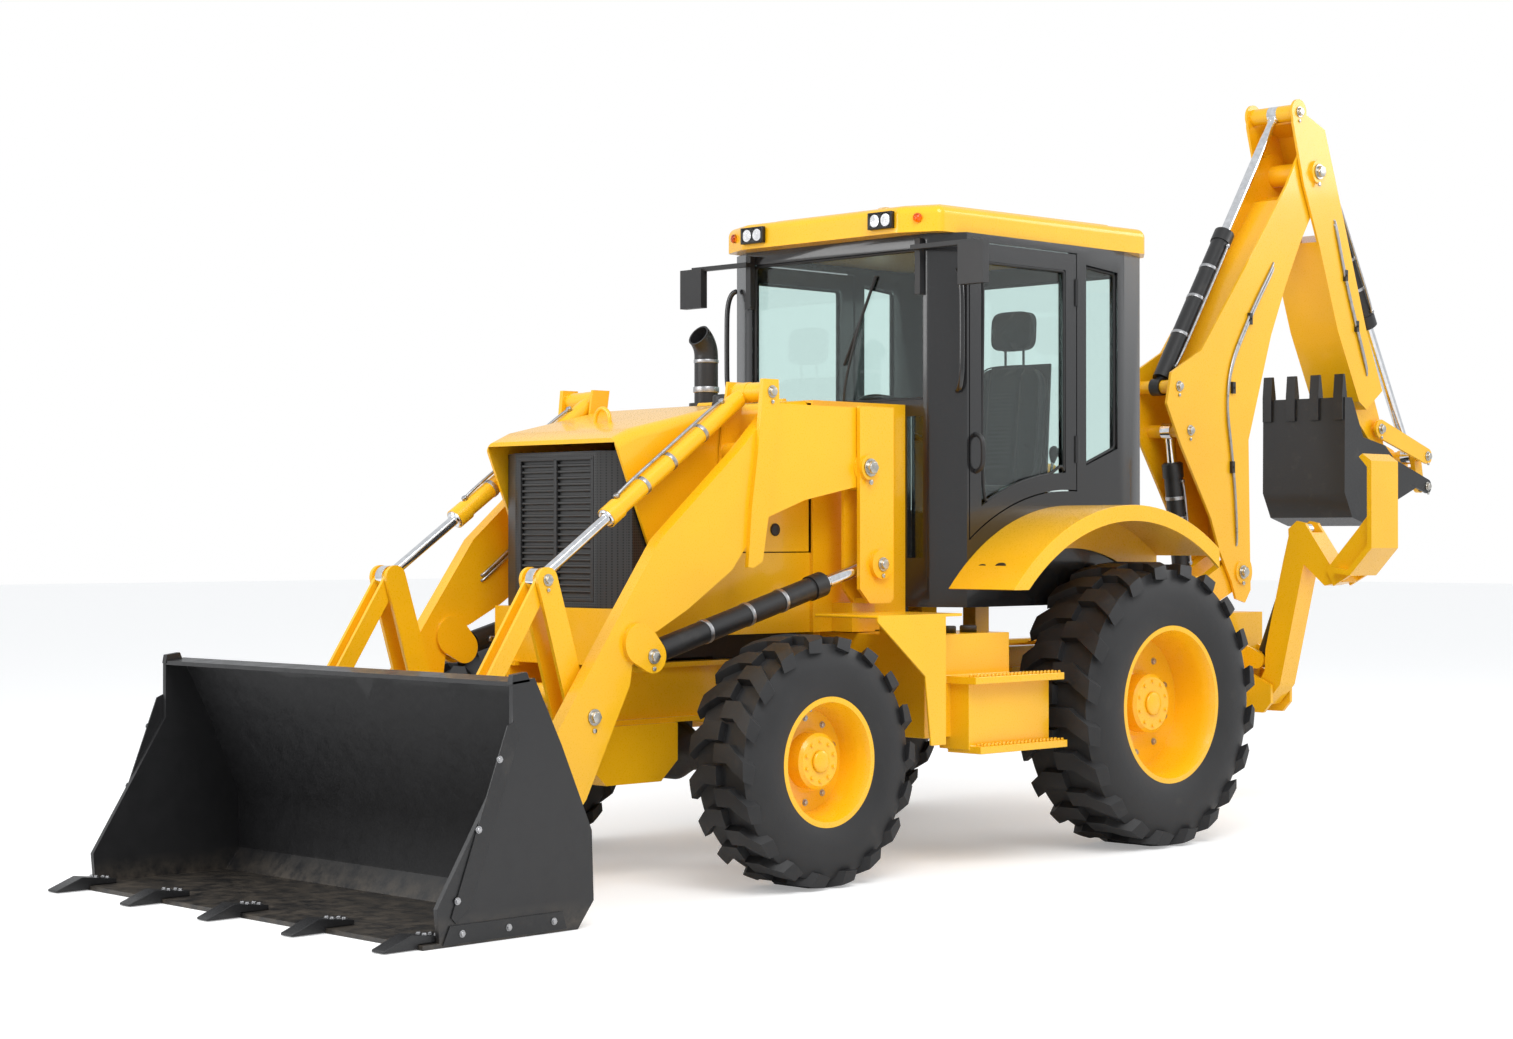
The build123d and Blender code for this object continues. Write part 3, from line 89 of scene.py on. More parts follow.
def softLamp(name, place, aim, size, power):
    lamp = bpy.data.lights.new(name, "AREA")
    lamp.shape = "RECTANGLE"
    lamp.size, lamp.size_y = size
    lamp.energy = power
    holder = bpy.data.objects.new(name, lamp)
    bpy.context.scene.collection.objects.link(holder)
    holder.location = place
    holder.rotation_euler = (Vector(aim) - Vector(place)).to_track_quat("-Z", "Y").to_euler()


softLamp("keySoftbox", (5.0, 6.5, 8.5), (0.2, 0, 1.2), (6, 6), studio["keyPower"])
softLamp("fillSoftbox", (9.0, -3.0, 4.5), (1.0, 0, 1.0), (5, 4), studio["fillPower"])
softLamp("rimSoftbox", (-8.0, 5.0, 6.0), (-1.5, 0, 1.5), (5, 4), studio["rimPower"])

# materials


def newMaterial(name):
    material = bpy.data.materials.new(name)
    material.use_nodes = True
    tree = material.node_tree
    tree.nodes.clear()
    out = tree.nodes.new("ShaderNodeOutputMaterial")
    shader = tree.nodes.new("ShaderNodeBsdfPrincipled")
    tree.links.new(shader.outputs[0], out.inputs["Surface"])
    return material, tree, shader


def noiseFrom(tree, scale, detail=4.0, roughness=0.55):
    coordinates = tree.nodes.new("ShaderNodeTexCoord")
    noise = tree.nodes.new("ShaderNodeTexNoise")
    noise.inputs["Scale"].default_value = scale
    noise.inputs["Detail"].default_value = detail
    noise.inputs["Roughness"].default_value = roughness
    tree.links.new(coordinates.outputs["Object"], noise.inputs["Vector"])
    return noise


def rampFrom(tree, source, stops):
    ramp = tree.nodes.new("ShaderNodeValToRGB")
    ramp.color_ramp.elements[0].position = stops[0][0]
    ramp.color_ramp.elements[0].color = stops[0][1]
    ramp.color_ramp.elements[1].position = stops[-1][0]
    ramp.color_ramp.elements[1].color = stops[-1][1]
    for place, colour in stops[1:-1]:
        ramp.color_ramp.elements.new(place).color = colour
    tree.links.new(source, ramp.inputs["Fac"])
    return ramp


def grey(value):
    return (value, value, value, 1)


def tint(colour, factor):
    return (min(1, colour[0] * factor), min(1, colour[1] * factor), min(1, colour[2] * factor), 1)


def paintMaterial(
    name, colour, roughness=0.32, coat=0.35, shade=0.86, scale=2.2, orangePeel=0.015, dust=None
):
    material, tree, shader = newMaterial(name)
    broad = noiseFrom(tree, scale)  # slow change of tone over the panel
    tone = rampFrom(tree, broad.outputs["Fac"], [(0.25, tint(colour, shade)), (0.75, tint(colour, 1.03))])
    fine = noiseFrom(tree, 160, 2)
    gloss = rampFrom(
        tree, fine.outputs["Fac"],
        [(0.3, grey(roughness * 0.8)), (0.8, grey(min(1, roughness * 1.35)))]
    )
    tree.links.new(gloss.outputs["Color"], shader.inputs["Roughness"])
    colourSource = tone.outputs["Color"]
    if dust:
        scuff = noiseFrom(tree, 9, 8, 0.7)
        scuffMask = rampFrom(tree, scuff.outputs["Fac"], [(0.56, grey(0)), (0.70, grey(dust[3]))])
        blend = tree.nodes.new("ShaderNodeMixRGB")
        tree.links.new(scuffMask.outputs["Color"], blend.inputs["Fac"])
        tree.links.new(colourSource, blend.inputs["Color1"])
        blend.inputs["Color2"].default_value = (dust[0], dust[1], dust[2], 1)
        colourSource = blend.outputs["Color"]
    tree.links.new(colourSource, shader.inputs["Base Color"])
    peel = tree.nodes.new("ShaderNodeBump")
    peel.inputs["Strength"].default_value = orangePeel * 10
    peel.inputs["Distance"].default_value = 0.002
    tree.links.new(fine.outputs["Fac"], peel.inputs["Height"])
    tree.links.new(peel.outputs[0], shader.inputs["Normal"])
    shader.inputs["Coat Weight"].default_value = coat
    shader.inputs["Coat Roughness"].default_value = 0.08
    return material


def metalMaterial(name, colour, roughness):
    material, tree, shader = newMaterial(name)
    shader.inputs["Metallic"].default_value = 1.0
    marks = noiseFrom(tree, 40, 6)
    tone = rampFrom(tree, marks.outputs["Fac"], [(0.3, tint(colour, 0.82)), (0.7, tint(colour, 1.05))])
    tree.links.new(tone.outputs["Color"], shader.inputs["Base Color"])
    gloss = rampFrom(
        tree, marks.outputs["Fac"], [(0.3, grey(roughness * 0.7)), (0.75, grey(roughness * 1.5))]
    )
    tree.links.new(gloss.outputs["Color"], shader.inputs["Roughness"])
    return material


def mouldedMaterial(name, colour, roughness, grain=600, depth=0.25, shade=0.8):
    material, tree, shader = newMaterial(name)
    broad = noiseFrom(tree, 6)
    tone = rampFrom(tree, broad.outputs["Fac"], [(0.3, tint(colour, shade)), (0.7, tint(colour, 1.1))])
    tree.links.new(tone.outputs["Color"], shader.inputs["Base Color"])
    shader.inputs["Roughness"].default_value = roughness
    pores = noiseFrom(tree, grain, 2)
    relief = tree.nodes.new("ShaderNodeBump")
    relief.inputs["Strength"].default_value = depth
    relief.inputs["Distance"].default_value = 0.001
    tree.links.new(pores.outputs["Fac"], relief.inputs["Height"])
    tree.links.new(relief.outputs[0], shader.inputs["Normal"])
    return material


def glassMaterial(name, colour, roughness=0.0):
    material, tree, shader = newMaterial(name)
    shader.inputs["Base Color"].default_value = (*colour, 1)
    shader.inputs["Transmission Weight"].default_value = 1.0
    shader.inputs["IOR"].default_value = 1.45
    ripple = noiseFrom(tree, 1.3, 1)
    gloss = rampFrom(
        tree, ripple.outputs["Fac"], [(0.3, grey(roughness)), (0.7, grey(roughness + 0.015))]
    )
    tree.links.new(gloss.outputs["Color"], shader.inputs["Roughness"])
    return material


def tyreMaterial(name):
    material, tree, shader = newMaterial(name)
    broad = noiseFrom(tree, 7, 6, 0.6)
    tone = rampFrom(
        tree, broad.outputs["Fac"],
        [
            (0.3, (0.009, 0.009, 0.010, 1)), (0.62, (0.018, 0.018, 0.019, 1)),
            (0.85, (0.040, 0.038, 0.036, 1))
        ]
    )
    tree.links.new(tone.outputs["Color"], shader.inputs["Base Color"])
    gloss = rampFrom(tree, broad.outputs["Fac"], [(0.3, grey(0.48)), (0.8, grey(0.72))])
    tree.links.new(gloss.outputs["Color"], shader.inputs["Roughness"])
    grain = noiseFrom(tree, 240, 3)
    relief = tree.nodes.new("ShaderNodeBump")
    relief.inputs["Strength"].default_value = 0.35
    relief.inputs["Distance"].default_value = 0.0015
    tree.links.new(grain.outputs["Fac"], relief.inputs["Height"])
    tree.links.new(relief.outputs[0], shader.inputs["Normal"])
    return material


def bucketMaterial(name):
    material, tree, shader = newMaterial(name)  # black paint, worn to brown steel low in the bucket
    coordinates = tree.nodes.new("ShaderNodeTexCoord")
    split = tree.nodes.new("ShaderNodeSeparateXYZ")
    tree.links.new(coordinates.outputs["Object"], split.inputs[0])
    height = rampFrom(tree, split.outputs["Z"], [(0.016, grey(1)), (0.11, grey(0))])
    scratch = noiseFrom(tree, 14, 9, 0.7)
    wear = rampFrom(tree, scratch.outputs["Fac"], [(0.38, grey(0)), (0.62, grey(1))])
    both = tree.nodes.new("ShaderNodeMixRGB")
    both.blend_type = "MULTIPLY"
    both.inputs["Fac"].default_value = 1
    tree.links.new(height.outputs["Color"], both.inputs["Color1"])
    tree.links.new(wear.outputs["Color"], both.inputs["Color2"])
    colour = tree.nodes.new("ShaderNodeMixRGB")
    tree.links.new(both.outputs["Color"], colour.inputs["Fac"])
    colour.inputs["Color1"].default_value = (0.014, 0.014, 0.015, 1)
    colour.inputs["Color2"].default_value = (0.075, 0.062, 0.048, 1)
    tree.links.new(colour.outputs["Color"], shader.inputs["Base Color"])
    gloss = rampFrom(tree, scratch.outputs["Fac"], [(0.3, grey(0.34)), (0.7, grey(0.55))])
    tree.links.new(gloss.outputs["Color"], shader.inputs["Roughness"])
    relief = tree.nodes.new("ShaderNodeBump")
    relief.inputs["Strength"].default_value = 0.08
    relief.inputs["Distance"].default_value = 0.004
    tree.links.new(scratch.outputs["Fac"], relief.inputs["Height"])
    tree.links.new(relief.outputs[0], shader.inputs["Normal"])
    shader.inputs["Coat Weight"].default_value = 0.15
    return material


def weaveMaterial(name, colour):
    material, tree, shader = newMaterial(name)
    coordinates = tree.nodes.new("ShaderNodeTexCoord")
    waves = []
    for direction in ("X", "Z"):
        wave = tree.nodes.new("ShaderNodeTexWave")
        wave.bands_direction = direction
        wave.inputs["Scale"].default_value = 160
        wave.inputs["Distortion"].default_value = 0.6
        tree.links.new(coordinates.outputs["Object"], wave.inputs["Vector"])
        waves.append(wave)
    cross = tree.nodes.new("ShaderNodeMixRGB")
    cross.blend_type = "MULTIPLY"
    cross.inputs["Fac"].default_value = 1
    tree.links.new(waves[0].outputs["Color"], cross.inputs["Color1"])
    tree.links.new(waves[1].outputs["Color"], cross.inputs["Color2"])
    tone = rampFrom(tree, cross.outputs["Color"], [(0.1, tint(colour, 0.6)), (0.8, tint(colour, 1.4))])
    tree.links.new(tone.outputs["Color"], shader.inputs["Base Color"])
    relief = tree.nodes.new("ShaderNodeBump")
    relief.inputs["Strength"].default_value = 0.5
    relief.inputs["Distance"].default_value = 0.001
    tree.links.new(cross.outputs["Color"], relief.inputs["Height"])
    tree.links.new(relief.outputs[0], shader.inputs["Normal"])
    shader.inputs["Roughness"].default_value = 0.85
    shader.inputs["Sheen Weight"].default_value = 0.3
    return material


def meshGrilleMaterial(name):
    material, tree, shader = newMaterial(name)
    coordinates = tree.nodes.new("ShaderNodeTexCoord")
    holes = tree.nodes.new("ShaderNodeTexVoronoi")
    holes.inputs["Scale"].default_value = 95
    holes.inputs["Randomness"].default_value = 0.0
    tree.links.new(coordinates.outputs["Object"], holes.inputs["Vector"])
    # the cell centres are painted near-black: painted shade standing in for the dark space seen through
    # the mesh's holes; the same pattern also drives the bump
    tone = rampFrom(tree, holes.outputs["Distance"], [(0.28, grey(0.002)), (0.42, grey(0.030))])
    tree.links.new(tone.outputs["Color"], shader.inputs["Base Color"])
    relief = tree.nodes.new("ShaderNodeBump")
    relief.inputs["Strength"].default_value = 0.6
    relief.inputs["Distance"].default_value = 0.003
    tree.links.new(tone.outputs["Color"], relief.inputs["Height"])
    tree.links.new(relief.outputs[0], shader.inputs["Normal"])
    shader.inputs["Roughness"].default_value = 0.45
    return material


finish = {
    "yellow": paintMaterial("yellowPaint", (0.960, 0.505, 0.006), 0.30, 0.40, 0.93),
    "black": paintMaterial("blackCabPaint", (0.012, 0.012, 0.013), 0.22, 0.5, 0.8),
    "satinBlack": paintMaterial(
        "satinBlackPaint", (0.016, 0.016, 0.017), 0.42, 0.1, 0.7, dust=(0.05, 0.045, 0.04, 0.35)
    ),
    "bucket": bucketMaterial("wornBucketPaint"),
    "chassis": paintMaterial(
        "darkChassisPaint", (0.030, 0.030, 0.031), 0.5, 0.05, 0.7, dust=(0.07, 0.06, 0.05, 0.5)
    ),
    "tyre": tyreMaterial("tyreRubber"),
    "hose": mouldedMaterial("hoseRubber", (0.013, 0.013, 0.014), 0.5, 500, 0.3),
    "plastic": mouldedMaterial("blackMoulding", (0.020, 0.020, 0.021), 0.45, 700, 0.3),
    "trim": mouldedMaterial("greyCabTrim", (0.060, 0.064, 0.066), 0.6, 500, 0.3),
    "fabric": weaveMaterial("seatWeave", (0.030, 0.032, 0.036)),
    "chrome": metalMaterial("chromedRod", (0.86, 0.87, 0.89), 0.07),
    "zinc": metalMaterial("zincBolt", (0.62, 0.60, 0.55), 0.28),
    "steel": metalMaterial("steelFitting", (0.50, 0.50, 0.51), 0.34),
    "glass": glassMaterial("tintedGlass", (0.76, 0.88, 0.86)),
    "clear": glassMaterial("clearLens", (0.95, 0.96, 0.97), 0.03),
    "orange": glassMaterial("orangeLens", (1.0, 0.22, 0.01), 0.08),
    "reflector": metalMaterial("lampReflector", (0.92, 0.92, 0.93), 0.12),
    "grille": meshGrilleMaterial("grilleMesh"),
}
print("materials made")

# carried-over nodes: what each is painted with, and how far its edges are eased

nodeFinish = {
    "yellow": (
        "loader_towers side_boxes rear_fenders hood cowl roof loader_arms tip_levers tilt_barrels "
        "swing_post boom dipper tipping_lever hoe_link rear_frame leg_left leg_right "
        "rim_front_left rim_front_right rim_rear_left rim_rear_right main_frame bucket_links"
    ),
    "black": "cab_frame door_left door_right",
    "satinBlack": (
        "bucket_teeth lift_barrels boom_barrel dipper_barrel hoe_bucket_barrel leg_barrel_left "
        "leg_barrel_right exhaust hoe_bucket"
    ),
    "bucket": "front_bucket",
    "chassis": "front_axle rear_axle knuckle_left knuckle_right engine_and_gearbox",
    "tyre": "tyre_front_left tyre_front_right tyre_rear_left tyre_rear_right",
    "chrome": "tilt_rods lift_rods boom_rod dipper_rod hoe_bucket_rod leg_rod_left leg_rod_right",
    "glass": "cab_glass door_glass_left door_glass_right",
    "plastic": "controls mirrors lamps seat",
    "grille": "grille",
}
easing = {"default": 0.004, "tyre": 0.0025, "glass": 0.0, "small": 0.0015}  # metres


def easeEdges(piece, width, angle=32):
    weld = piece.modifiers.new("weld", "WELD")
    weld.merge_threshold = 0.00002
    if width > 0:
        edge = piece.modifiers.new("easedEdges", "BEVEL")
        edge.width = width
        edge.segments = 2
        edge.limit_method = "ANGLE"
        edge.angle_limit = math.radians(angle)
        edge.use_clamp_overlap = True
    for polygon in piece.data.polygons:
        polygon.use_smooth = True
    normals = piece.modifiers.new("evenNormals", "WEIGHTED_NORMAL")
    normals.keep_sharp = False
    normals.weight = 80


for key, names in nodeFinish.items():
    for nodeName in names.split():
        piece = nodes[nodeName]
        piece.data.materials.clear()
        piece.data.materials.append(finish[key])
        width = easing.get(key, easing["default"])
        if "rod" in nodeName or "barrel" in nodeName or "exhaust" in nodeName:
            width = easing["small"]
        easeEdges(piece, width)
print("carried-over nodes finished")

# makers for the pieces that this script adds

up = Vector((0, 0, 1))
down = (0, 0, -1)
farOut = 1600  # millimetres out to a side, where a ray towards the machine starts
farUp = 2600  # millimetres above the ground, over the hood
feedPipe = 0.0065  # radius of the steel pipes


def at(x, y, z):  # millimetres from the rear axle's line, on the ground
    return Vector((x / 1000 + rearAxle, y / 1000, z / 1000))


def finishPiece(name, shape, material, body, bevel=0.0, smooth=True):
    bmesh.ops.recalc_face_normals(shape, faces=shape.faces)
    mesh = bpy.data.meshes.new(name)
    shape.to_mesh(mesh)
    shape.free()
    piece = bpy.data.objects.new(name, mesh)
    bpy.context.scene.collection.objects.link(piece)
    mesh.materials.append(finish[material])
    for polygon in mesh.polygons:
        polygon.use_smooth = smooth
    if bevel > 0:
        easeEdges(piece, bevel)
    else:
        piece.modifiers.new("evenNormals", "WEIGHTED_NORMAL")
    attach(piece, body)
    return piece


def basisFor(axis):
    axis = Vector(axis).normalized()
    side = axis.cross(up if abs(axis.z) < 0.9 else Vector((1, 0, 0))).normalized()
    return axis, side, axis.cross(side)


def joinRings(shape, low, high):
    for i in range(len(low)):
        j = (i + 1) % len(low)
        shape.faces.new((low[i], low[j], high[j], high[i]))


def lathe(shape, profile, origin, axis, segments=24, turn=0.0):
    axis, side, other = basisFor(axis)
    rings = []
    for radius, along in profile:
        ring = []
        for step in range(segments):
            angle = turn + 2 * math.pi * step / segments
            spoke = side * math.cos(angle) + other * math.sin(angle)
            ring.append(shape.verts.new(origin + axis * along + spoke * max(radius, 0.0002)))
        rings.append(ring)
    for low, high in zip(rings, rings[1:]):
        joinRings(shape, low, high)
    shape.faces.new(list(reversed(rings[0])))
    shape.faces.new(rings[-1])


def slab(shape, low, high):
    corners = [
        shape.verts.new((x, y, z)) for x in (low[0], high[0]) for y in (low[1], high[1])
        for z in (low[2], high[2])
    ]
    for face in ((0, 1, 3, 2), (4, 6, 7, 5), (0, 4, 5, 1), (2, 3, 7, 6), (0, 2, 6, 4), (1, 5, 7, 3)):
        shape.faces.new([corners[i] for i in face])


def partSlab(shape, x, y, z):
    slab(shape, at(min(x), min(y), min(z)), at(max(x), max(y), max(z)))


def sidePlate(shape, outline, y, width):
    first = [shape.verts.new(at(px, y - width / 2, pz)) for px, pz in outline]
    second = [shape.verts.new(at(px, y + width / 2, pz)) for px, pz in outline]
    shape.faces.new(first)
    shape.faces.new(list(reversed(second)))
    for i in range(len(outline)):
        j = (i + 1) % len(outline)
        shape.faces.new((first[i], second[i], second[j], first[j]))


def hexBolt(shape, origin, axis, size):
    axis = Vector(axis).normalized()
    lathe(
        shape, [(size * 1.05, -0.002), (size * 1.05, size * 0.16), (size, size * 0.2)], origin,
        axis, 20
    )
    head = [
        (size * 0.74, size * 0.1), (size * 0.8, size * 0.2), (size * 0.8, size * 0.6),
        (size * 0.66, size * 0.74)
    ]
    lathe(shape, head, origin, axis, 6)


def pipeRun(name, points, radius, material, body, closed=False, order=3):
    curve = bpy.data.curves.new(name, "CURVE")
    curve.dimensions = "3D"
    curve.bevel_depth = radius
    curve.bevel_resolution = 4
    curve.resolution_u = 8
    curve.use_fill_caps = True
    spline = curve.splines.new("NURBS")
    spline.points.add(len(points) - 1)
    for target, place in zip(spline.points, points):
        target.co = (*place, 1)
    spline.order_u = order
    spline.use_endpoint_u = not closed
    spline.use_cyclic_u = closed
    piece = bpy.data.objects.new(name, curve)
    bpy.context.scene.collection.objects.link(piece)
    curve.materials.append(finish[material])
    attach(piece, body)
    return piece


bpy.context.view_layer.update()


def faceOf(nodeName, origin, direction, reach=4.0):
    hit, spot = nodes[nodeName].ray_cast(Vector(origin), Vector(direction), distance=reach)[:2]
    return spot if hit else None


# pin ends: a washer and a hexagon head on the outer face at every pivot

pins = {
    "loader_towers": [(1440, 1647, 36), (1368, 1247, 28)],
    "loader_arms": [(1997, 1940, 24), (2637, 905, 28), (2921, 686, 30)],
    "tip_levers": [(3080, 1200, 22)],
    "front_bucket": [(3210, 245, 32)],
    "bucket_links": [(3369, 759, 20)],
    "boom": [(-1949, 1179, 34), (-1500, 1900, 26), (-1406, 2120, 26)],
    "dipper": [(-2617, 3317, 40), (-2457, 3621, 28)],
    "tipping_lever": [(-3298, 1960, 28), (-3785, 1819, 26)],
    "hoe_bucket": [(-3819, 1649, 24)],
}
bodyOf = {"loader_towers": "chassis"}
for nodeName, places in pins.items():
    shape = bmesh.new()
    for x, z, size in places:
        for side in (1, -1):
            start = at(x + size * 0.5, side * farOut, z)
            spot = faceOf(nodeName, start, (0, -side, 0))
            if spot:
                centre = Vector((at(x, 0, z).x, spot.y, z / 1000))
                hexBolt(shape, centre, (0, side, 0), size / 1000)
                keeper = centre + Vector((0, side * 0.003, -size * 0.0017))
                lathe(shape, [(size * 0.0003, -0.002), (size * 0.0003, 0.004)], keeper, (0, side, 0), 10)
    finishPiece(nodeName + "PinEnds", shape, "zinc", bodyOf.get(nodeName, nodeName))
print("pin ends placed")

# wheels: nuts on the disc, screws and a cap on the hub, a valve in the dish

wheelSizes = {
    "front": {
        "x": 2060, "z": 490, "disc": 862, "hub": 945, "nutRing": 165, "nut": 13, "screwRing": 78,
        "cap": 44
    },
    "rear": {
        "x": 0, "z": 625, "disc": 912, "hub": 1005, "nutRing": 222, "nut": 15, "screwRing": 98,
        "cap": 52
    },
}
nutCount = 10
for end, size in wheelSizes.items():
    for side, sideName in ((1, "left"), (-1, "right")):
        body = "wheel_" + end + "_" + sideName
        nuts = bmesh.new()
        screws = bmesh.new()
        out = Vector((0, side, 0))
        disc = at(size["x"], side * size["disc"], size["z"])
        hub = at(size["x"], side * size["hub"], size["z"])
        for step in range(nutCount):
            angle = 2 * math.pi * (step + 0.5) / nutCount
            ring = Vector((math.cos(angle), 0, math.sin(angle)))
            hexBolt(nuts, disc + ring * size["nutRing"] / 1000, out, size["nut"] / 1000)
            hexBolt(screws, hub + ring * size["screwRing"] / 1000, out, 0.009)
        cap = size["cap"] / 1000
        lathe(
            screws,
            [(cap, -0.002), (cap, 0.008), (cap * 0.86, 0.014), (cap * 0.4, 0.017), (0, 0.017)], hub,
            out, 28
        )
        valve = disc + Vector((0, side * 0.002, size["nutRing"] / 1000 + 0.03))
        lathe(nuts, [(0.006, 0), (0.006, 0.03), (0.004, 0.034)], valve, out, 10)
        finishPiece(body + "Nuts", nuts, "steel", body)
        finishPiece(body + "HubCap", screws, "yellow", body)
print("wheel fittings placed")

# cylinders: gland nut, port fittings and a feed pipe in clamps on each barrel

cylinders = {
    "tilt_barrels": {
        "base": (1997, 1940), "tip": (3080, 1200), "y": (465, -465), "radius": 36, "gland": 900,
        "pipeTurn": 90, "paint": "yellow"
    },
    "lift_barrels": {
        "base": (2637, 905), "tip": (1368, 1247), "y": (570, -570), "radius": 46, "gland": 1010,
        "pipeTurn": 180, "paint": "satinBlack"
    },
    "boom_barrel": {
        "base": (-1620, 1100), "tip": (-1500, 1900), "y": (0,), "radius": 48, "gland": 640,
        "pipeTurn": 0, "paint": "satinBlack"
    },
    "dipper_barrel": {
        "base": (-1406, 2120), "tip": (-2457, 3621), "y": (0,), "radius": 48, "gland": 1010,
        "pipeTurn": 0, "paint": "satinBlack"
    },
    "hoe_bucket_barrel": {
        "base": (-2880, 3360), "tip": (-3785, 1819), "y": (0,), "radius": 48, "gland": 950,
        "pipeTurn": 0, "paint": "satinBlack"
    },
}
pipeFit = {"clear": 0.013, "start": 0.13, "endGap": 0.09, "lead": 0.03, "clamps": (0.25, 0.55, 0.8)}
for body, spec in cylinders.items():
    fittings = bmesh.new()
    glands = bmesh.new()
    for index, y in enumerate(spec["y"]):
        base = at(spec["base"][0], y, spec["base"][1])
        tip = at(spec["tip"][0], y, spec["tip"][1])
        axis = (tip - base).normalized()
        radius = spec["radius"] / 1000
        gland = base + axis * spec["gland"] / 1000
        lathe(
            glands,
            [
                (radius + 0.002, -0.03), (radius + 0.002, 0.003), (radius - 0.006, 0.008),
                (radius * 0.62, 0.008)
            ],
            gland, axis, 36
        )
        outward = Vector((0, 1 if y >= 0 else -1, 0))
        cross = axis.cross(outward).normalized()
        if cross.z < 0:
            cross = -cross
        turn = math.radians(spec["pipeTurn"])
        away = outward * math.cos(turn) + cross * math.sin(turn)
        line = away * (radius + pipeFit["clear"])
        near = base + axis * pipeFit["start"]
        far = base + axis * (spec["gland"] / 1000 - pipeFit["endGap"])
        for spot in (near, far):
            lathe(
                fittings, [(0.013, 0), (0.013, 0.016), (0.010, 0.020)],
                spot + away * (radius - 0.004), away, 6
            )
        for share in pipeFit["clamps"]:
            spot = near.lerp(far, share)
            lathe(
                fittings,
                [
                    (radius + 0.001, -0.009), (radius + 0.003, -0.008), (radius + 0.003, 0.008),
                    (radius + 0.001, 0.009)
                ],
                spot, axis, 32
            )
        lead = axis * pipeFit["lead"]
        port = away * (radius + 0.006)
        run = [near + port, near + line + lead, near.lerp(far, 0.5) + line, far + line - lead, far + port]
        pipeRun(body + "Pipe" + str(index), run, feedPipe, "steel", body)
    finishPiece(body + "Fittings", fittings, "steel", body)
    finishPiece(
        body + "Glands", glands, "chrome" if spec["paint"] == "yellow" else "satinBlack", body,
    )
print("cylinders dressed")

# loader bucket: bolted tooth shanks, wear plates and corner lugs

bucketTrim = {"teeth": 5, "half": 1090, "lugWidth": 26}
shanks = bmesh.new()
for index in range(bucketTrim["teeth"]):
    share = index / (bucketTrim["teeth"] - 1) * 2 - 1
    y = share * (bucketTrim["half"] - 58)
    for x in (4010, 4060):
        for shift in (-16, 16):
            spot = faceOf("bucket_teeth", at(x, y + shift, 600), down)
            if spot:
                hexBolt(shanks, spot, up, 0.011)
finishPiece("toothBolts", shanks, "steel", "front_bucket")
wear = bmesh.new()
wearBolts = bmesh.new()
for side in (1, -1):
    face = side * (bucketTrim["half"] + 3)
    sidePlate(wear, ((3480, 8), (4020, 8), (3990, 70), (3500, 70)), face, 6)
    sidePlate(wear, ((3905, 120), (3965, 75), (3985, 96), (3745, 722), (3715, 735), (3690, 690)), face, 6)
    sidePlate(
        wear, ((3640, 866), (3722, 858), (3716, 892), (3655, 900)),
        side * (bucketTrim["half"] - 13), bucketTrim["lugWidth"]
    )
    for x, z in ((3540, 40), (3740, 40), (3940, 40), (3960, 150), (3870, 380), (3780, 610)):
        hexBolt(wearBolts, at(x, face + side * 3, z), (0, side, 0), 0.012)
finishPiece("bucketWearPlates", wear, "satinBlack", "front_bucket", 0.0012)
finishPiece("wearPlateBolts", wearBolts, "steel", "front_bucket")
print("bucket trimmed")

# cab: seals round the panes, handles, grab rail, wiper and mirror glass


def roundedLoop(corners, cut):
    loop = []
    for index, corner in enumerate(corners):
        before = corners[index - 1]
        after = corners[(index + 1) % len(corners)]
        loop.append(corner + (before - corner).normalized() * cut)
        loop.append(corner)
        loop.append(corner + (after - corner).normalized() * cut)
    return loop


